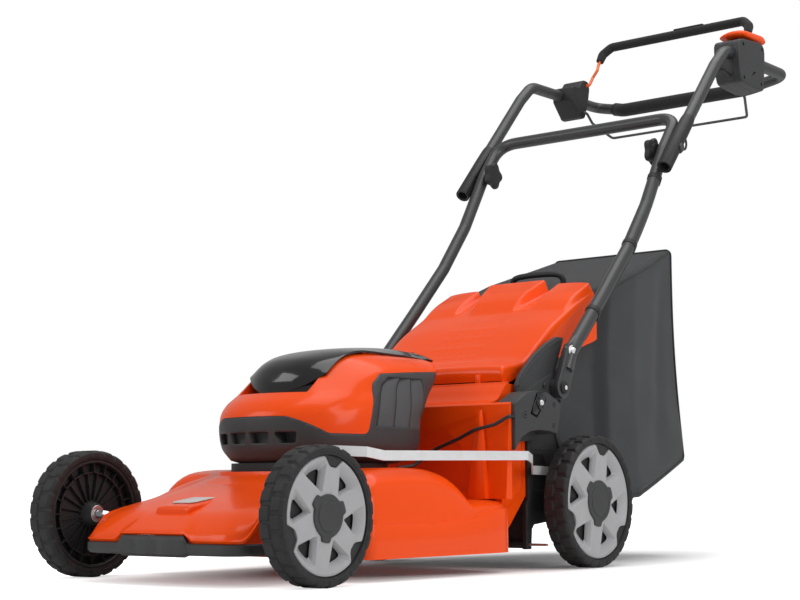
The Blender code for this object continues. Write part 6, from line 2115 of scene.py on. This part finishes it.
def bail_bores(side):
    """Cutters for the bails' ends."""
    ends = ((START_PIVOT, 0.0039), (DRIVE_PIVOT, 0.0034))
    return [cross_bore(side, CLAMP_X - 0.01, CLAMP_X + 0.014, place, radius) for place, radius in ends]


def screw_holes(side, places, near, far, radius):
    return [cross_bore(side, CLAMP_X + near, CLAMP_X + far, place, radius, 24) for place in places]


def control_case():
    """The switch box: a shell with a parting groove, screw holes and a slot, on an arm for the bails."""
    arm = sided("arm", BOX_ARM, 1, CLAMP_X, CLAMP_X + 0.024, 0.004, 3)
    body = sided("box", BOX_SHELL, 1, CLAMP_X + 0.016, CLAMP_X + 0.0605, 0.006, 5)
    tools = [side_groove(BOX_SHELL, CLAMP_X + 0.043), *screw_holes(1, BOX_SCREWS, 0.056, 0.07, 0.004)]
    tools.append(sided("slot", BOX_SLOT, 1, CLAMP_X + 0.0575, CLAMP_X + 0.07, 0.0006, 2))
    body = carve(body, [*tools, level_bore(1)])
    return merged("box", [body, carve(arm, [*bail_bores(1), level_bore(1)])], 34.0)


def side_groove(outline, x, depth=0.0009, width=0.0007):
    """A thin frame that cuts a parting groove round a plate with this outline."""
    cy = sum(y for y, _ in outline) / len(outline)
    cz = sum(z for _, z in outline) / len(outline)
    rings = []
    for y, z in outline:
        away = math.hypot(y - cy, z - cz)
        scales = (1.2, (away - depth) / away)
        outer, inner = ((cy + (y - cy) * scale, cz + (z - cz) * scale) for scale in scales)
        corners = ((0.0, outer), (width, outer), (width, inner), (0.0, inner))
        rings.append([spot(x + off, *place) for off, place in corners])
    return loft("groove", rings, closed=True)


def bail_clamp():
    """The clamp on the right: a sleeve round the tube with a boss for each bail."""
    body = sided("clamp", CLAMP, -1, CLAMP_X, CLAMP_X + 0.054, 0.0058, 5)
    tools = [level_bore(-1), *bail_bores(-1), *screw_holes(-1, CLAMP_SCREWS, 0.05, 0.07, 0.0042)]
    return sharpen(carve(body, tools), 34.0)


def thumb_lever():
    """The orange thumb lever: a saddle with a raised thumb tip."""
    rings = []
    for x, low, high, front, rear in LEVER_SECTIONS:
        lift = high - low
        section = (
            (front, low + 0.0006), (front + 0.004, low + lift * 0.72), (front + 0.014, high - 0.0022),
            (front + 0.032, high - 0.0008), (rear - 0.026, high + 0.0022), (rear - 0.012, high + 0.0026),
            (rear - 0.002, low + lift * 0.8), (rear, low + 0.005), (rear - 0.02, low + 0.003),
        )
        rings.append([spot(x, y, z) for y, z in section])
    return smoothed(loft("lever", rings), 2)


def clamp_knob(side):
    """The five-lobed knob with a collar toward the tube and a dished face."""
    y, z = KNOB
    rings = []
    for scale, depth, lobed in KNOB_SECTIONS:
        ring = []
        for a in turns(80):
            reach = KNOB_RADIUS * scale * (1 + 0.12 * math.cos(5 * a) * lobed)
            across, up = reach * math.cos(a), reach * math.sin(a)
            ring.append(spot(side * (LOWER_X - 0.013 - depth), y + across, z + up))
        rings.append(ring)
    bore = cross_bore(side, LOWER_X - 0.0258, LOWER_X + 0.02, KNOB, BOLT_BORE)
    return sharpen(carve(loft("knob", rings), [bore]), 34.0)


def start_wire():
    """The orange start bail."""
    return sweep("start_wire", rounded_path(mirrored_path(placed(START_ROUTE)), 0.006, 6), 0.0035)


def foam_bar():
    """The foam round the start bail's straight bar, thick over the middle, with a bare pad on top."""
    route = placed(START_ROUTE[-3:])
    path = rounded_path(mirrored_path([route[0].lerp(route[1], 0.35), *route[1:]]), 0.014, 8)
    bar = sweep("foam", path, 0.0105, 36, lambda t: 0.86 + 0.14 * min(1.0, min(t, 1 - t) / 0.02))
    pad = rounded("pad", (0.075, 0.0135, 0.005), spot(0.035, 1.52, 1.19), 0.0018, 3)
    inner = sweep("bore", rounded_path(mirrored_path(route), 0.006, 4), 0.0041)
    return merged("foam", [carve(bar, [inner]), pad], 46.0)


def drive_wire():
    """The thin black drive bail."""
    return sweep("drive_wire", rounded_path(mirrored_path(placed(DRIVE_ROUTE)), 0.01, 8), 0.003, 18)


def pins(side, label):
    """The pivot pin with its washer head and bright end, the foot's bolt and the clamp bolt."""
    pin = side_disc("pin", side, BRACKET_X + 0.004, PIVOT, PIVOT_SHAFT, 32)
    cap = side_disc("cap", side, LOWER_X + 0.0066, PIVOT, PIVOT_HEAD, 40)
    ready(merged("pin", [pin, cap], 34.0), "black", "chassis", ["pivot_pin_" + label])
    end = side_disc("pin_end_" + label, side, LOWER_X + 0.009, PIVOT, PIVOT_END, 32)
    ready(end, "zinc_with_painted_reflection", "chassis")
    washer = side_disc("washer", side, LOWER_X + 0.006, FOOT_BOLT, FOOT_WASHER, 40)
    hexagon = side_disc("bolt", side, LOWER_X + 0.0074, FOOT_BOLT, FOOT_HEXAGON, 6)
    ready(merged("foot_bolt_" + label, [washer, hexagon], 34.0), "zinc_with_painted_reflection", "lower_handle")
    shank = side_disc("shank", side, 0.1925, KNOB, CLAMP_SHANK, 28)
    nut = side_disc("nut", side, 0.2566, KNOB, CLAMP_NUT, 6)
    ready(merged("bolt", [shank, nut], 34.0), "dark_steel", "lower_handle", ["clamp_bolt_" + label])


def handle_screws():
    """The screws in the switch box and in the clamp."""
    heads = []
    for side, places, depth, radius in ((1, BOX_SCREWS, 0.0562, 0.0034), (-1, CLAMP_SCREWS, 0.0502, 0.0036)):
        for place in places:
            heads.append(screw("screw", spot(side * (CLAMP_X + depth), *place), (side, 0, 0), radius))
    return merged("handle_screws", heads)


class MOWER_OT_handle(bpy.types.Operator):
    """Build the folding handle with its grip, switch box, clamps, levers, bails and knobs"""

    bl_idname = "mower.handle"
    bl_label = "Build Handle"

    def execute(self, context):
        ready(lower_frame(), "tube", "lower_handle", ["lower_tube"])
        ready(upper_frame(), "tube", "upper_handle", ["upper_tube"])
        ready(grip(), "foam", "upper_handle", ["rear_grip"])
        ready(control_case(), "charcoal", "upper_handle", ["control_box"])
        ready(bail_clamp(), "black", "upper_handle", ["handle_clamp"])
        ready(thumb_lever(), "orange", "upper_handle", ["start_lever"])
        ready(start_wire(), "bail_orange", "start_bail", ["start_wire"])
        ready(foam_bar(), "foam", "start_bail", ["start_cover"])
        ready(drive_wire(), "dark_steel", "drive_bail", ["drive_wire"])
        ready(handle_screws(), "dark_steel", "upper_handle")
        for side, label in SIDES:
            ready(sleeve(side), "black", "upper_handle").name = "tube_sleeve_" + label
            ready(clamp_knob(side), "black", "knob_" + label, ["knob_" + label])
            pins(side, label)
        return {"FINISHED"}


# Cables


CABLE_RADIUS = 0.003
CHASSIS_CABLE = (
    (0.07, 0.398, 0.1722),
    (0.08, 0.43, 0.176),
    (0.1016, 0.458, 0.2028),
    (0.15, 0.464, 0.221),
    (0.182, 0.465, 0.235),
    (0.215, 0.476, 0.243),
    (0.2395, 0.482, 0.2565),
    (0.2395, 0.4947, 0.257),
)
LOWER_CABLE = ((1.036, 0.767), (0.985, 0.682), (0.91, 0.586), (0.809, 0.482), (0.742, 0.415))
UPPER_CABLE = ((1.308, 1.0), (1.278, 1.008), (1.2484, 0.9978), (1.1134, 0.8468), (1.0491, 0.7745))
CABLE_AWAY = 0.0152
CLIP_SHARES = (0.12, 0.5, 0.86)
CLIP_SECTIONS = ((-0.005, 0.0006), (-0.0042, 0.0016), (0.0042, 0.0016), (0.005, 0.0006))


def chassis_cable():
    """The free cable from under the housing to the fold bracket, with its length along the path worked out.
    """
    path = rounded_path(placed(CHASSIS_CABLE), 0.03)
    cable = ready(sweep("chassis_cable", path, CABLE_RADIUS, 18), "cable", "chassis", ["cable_chassis"])
    length = sum((b - a).length for a, b in zip(path, path[1:]))
    points = [tuple(p) for p in path]
    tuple(points[0])


def lower_route():
    """The centre line of the cable behind the left lower tube."""
    route = []
    for k, (y, z) in enumerate(LOWER_CABLE):
        y0, z0 = LOWER_CABLE[max(k - 1, 0)]
        y1, z1 = LOWER_CABLE[min(k + 1, len(LOWER_CABLE) - 1)]
        away = CABLE_AWAY / math.hypot(y1 - y0, z1 - z0)
        route.append(spot(LOWER_X, y + (z0 - z1) * away, z - (y0 - y1) * away))
    return curve_points(route, 10)


def clip(place, ahead, away):
    """A moulded band round a tube and the cable behind it, where away points from cable to tube."""
    rings = []
    for along, grow in CLIP_SECTIONS:
        ring = []
        for a in turns(40):
            lean = away * math.cos(a) + ahead.cross(away) * math.sin(a)
            if math.cos(a) > -0.62:
                point = away * CABLE_AWAY + lean * (0.0127 + grow)
            else:
                point = lean * (0.0034 + grow)
            ring.append(place + ahead * along + point)
        rings.append(ring)
    return loft("clip", rings)


def clips(route):
    """Cable clips spread along the lower tube."""
    bands = []
    for share in CLIP_SHARES:
        i = int(share * (len(route) - 2))
        ahead = (route[i + 1] - route[i]).normalized()
        away = Vector((0, -ahead.z, ahead.y)).normalized()
        bands.append(clip(route[i], ahead, -away if away.y > 0 else away))
    return merged("lower_cable_clips", bands)


class MOWER_OT_cables(bpy.types.Operator):
    """Build the three cable runs and the clips that hold one of them to the lower tube"""

    bl_idname = "mower.cables"
    bl_label = "Build Cables"

    def execute(self, context):
        chassis_cable()
        lower = lower_route()
        ready(sweep("lower_cable", lower, CABLE_RADIUS, 16), "cable", "lower_handle", ["cable_lower"])
        ready(clips(lower), "black", "lower_handle")
        upper = rounded_path([spot(UPPER_X - 0.0035, y, z) for y, z in UPPER_CABLE], 0.02, 10)
        ready(sweep("upper_cable", upper, CABLE_RADIUS, 16), "cable", "upper_handle", ["cable_upper"])
        return {"FINISHED"}


# Floor, light and camera


FLOOR_HALF = 40.0
WHITE = (1.0, 1.0, 1.0, 1.0)
CAMERA_PLACE = (1.753, -1.7, 0.138)
LAMPS = {
    "top_light": ((0.6, 0.2, 3.4), (0.0, 0.0, 0.4), (3.2, 2.6), 58.0),
    "nose_light": ((-1.6, -3.2, 2.2), (0.0, -0.2, 0.4), (2.0, 1.6), 31.0),
    "side_light": ((3.4, -0.2, 1.7), (0.0, 0.2, 0.5), (1.6, 2.2), 37.0),
}
GLOSS_SHARE = 0.1


def make_world():
    """White for the camera and through glass, darker as light, and darkest in reflections."""
    world = bpy.data.worlds.new("studio")
    world.use_nodes = True
    tree = world.node_tree
    background = tree.nodes["Background"]
    background.inputs["Color"].default_value = WHITE
    rays = tree.nodes.new("ShaderNodeLightPath")
    names = ("Is Camera Ray", "Is Glossy Ray", "Is Transmission Ray")
    camera, glossy, through = (Value(tree, rays.outputs[key]) for key in names)
    strength = camera.at_least(glossy * GLOSS_SHARE).at_least(through) * 0.62 + 0.38
    tree.links.new(strength.socket, background.inputs["Strength"])
    bpy.context.scene.world = world


def floor_finish():
    """A pale floor whose glow for the camera is near black round the mower, a painted shade that deepens its
    shadow there, and grows to white away from it.
    """
    look = {"Base Color": (0.9, 0.9, 0.9, 1.0), "Roughness": 0.65, "Specular IOR Level": 0.15}
    finish = Finish("floor_with_painted_shade", look)
    # Painted shade: inside an ellipse round the mower the camera-only glow falls to near black, so the floor
    # there shows darker than the white beyond it.
    near = finish.stretched((2.4, 0.95, 0.0))
    spread = finish.read("ShaderNodeVectorMath", "Value", {"operation": "LENGTH"}, {0: near})
    share = ((spread - 0.5) * 1.5).at_least(0.0)
    finish.wire("Emission Color", finish.blend(share, (0.03, 0.03, 0.03, 1.0), WHITE))
    finish.wire("Emission Strength", finish.read("ShaderNodeLightPath", "Is Camera Ray"))
    return finish.material


def make_floor():
    """A floor that keeps the mower's shadow, deepened by painted shade round the mower, and meets the white
    background.
    """
    bm = bmesh.new()
    bmesh.ops.create_grid(bm, x_segments=8, y_segments=8, size=FLOOR_HALF)
    floor = as_object(bm, "floor")
    floor.data.materials.append(floor_finish())


def soft_lamp(name, place, target, size, power):
    lamp = bpy.data.lights.new(name, "AREA")
    lamp.shape = "RECTANGLE"
    lamp.size, lamp.size_y = size
    lamp.energy = power
    obj = add_object(name, lamp)
    obj.location = place
    obj.rotation_euler = (Vector(target) - Vector(place)).to_track_quat("-Z", "Y").to_euler()


def make_camera():
    """The camera at the photograph's viewpoint."""
    _, _, _, camera = settings()
    data = bpy.data.cameras.new("photo_camera")
    data.sensor_width = 36.0
    data.lens = camera.lens
    turn, tilt, lean = camera.azimuth, camera.pitch, camera.roll
    ahead = Vector((-math.sin(turn) * math.cos(tilt), math.cos(turn) * math.cos(tilt), math.sin(tilt)))
    right = Vector((math.cos(turn), math.sin(turn), 0.0))
    up = right.cross(ahead)
    leaned = right * math.cos(lean) + up * math.sin(lean)
    upright = up * math.cos(lean) - right * math.sin(lean)
    matrix = Matrix((leaned, upright, -ahead)).transposed().to_4x4()
    matrix.translation = spot(*CAMERA_PLACE)
    obj = add_object("photo_camera", data)
    obj.matrix_world = matrix
    bpy.context.scene.camera = obj


class MOWER_OT_stage(bpy.types.Operator):
    """Set up the floor, the studio light and the photograph's camera"""

    bl_idname = "mower.stage"
    bl_label = "Set Up Stage"

    def execute(self, context):
        context.scene.view_settings.view_transform = "Standard"
        make_world()
        make_floor()
        for name, lamp in LAMPS.items():
            soft_lamp(name, *lamp)
        make_camera()
        return {"FINISHED"}


# Panel and registration


OPERATORS = (
    MOWER_OT_finishes,
    MOWER_OT_wheels,
    MOWER_OT_deck,
    MOWER_OT_housing,
    MOWER_OT_rear,
    MOWER_OT_hood,
    MOWER_OT_bag,
    MOWER_OT_handle,
    MOWER_OT_cables,
    MOWER_OT_stage,
)


class MOWER_PT_panel(bpy.types.Panel):
    """Lists the mower's sizes, colours and building steps"""

    bl_idname = "MOWER_PT_panel"
    bl_label = "Lawn Mower"
    bl_space_type = "VIEW_3D"
    bl_region_type = "UI"
    bl_category = "Mower"

    def draw(self, context):
        for group in settings():
            box = self.layout.box()
            for key in group.__annotations__:
                box.prop(group, key)
        for operator in OPERATORS:
            self.layout.operator(operator.bl_idname)


GROUPS = {
    "mower_colours": MOWER_PG_colours,
    "mower_wheels": MOWER_PG_wheels,
    "mower_bag": MOWER_PG_bag,
    "mower_camera": MOWER_PG_camera,
}
CLASSES = (*GROUPS.values(), *OPERATORS, MOWER_PT_panel)


def register():
    for cls in CLASSES:
        bpy.utils.register_class(cls)
    for key, group in GROUPS.items():
        setattr(bpy.types.Scene, key, PointerProperty(type=group))


def unregister():
    for key in GROUPS:
        delattr(bpy.types.Scene, key)
    for cls in reversed(CLASSES):
        bpy.utils.unregister_class(cls)


def main():
    register()
    for operator in OPERATORS:
        group, step = operator.bl_idname.split(".")
        getattr(getattr(bpy.ops, group), step)()


if __name__ == "__main__":
    main()
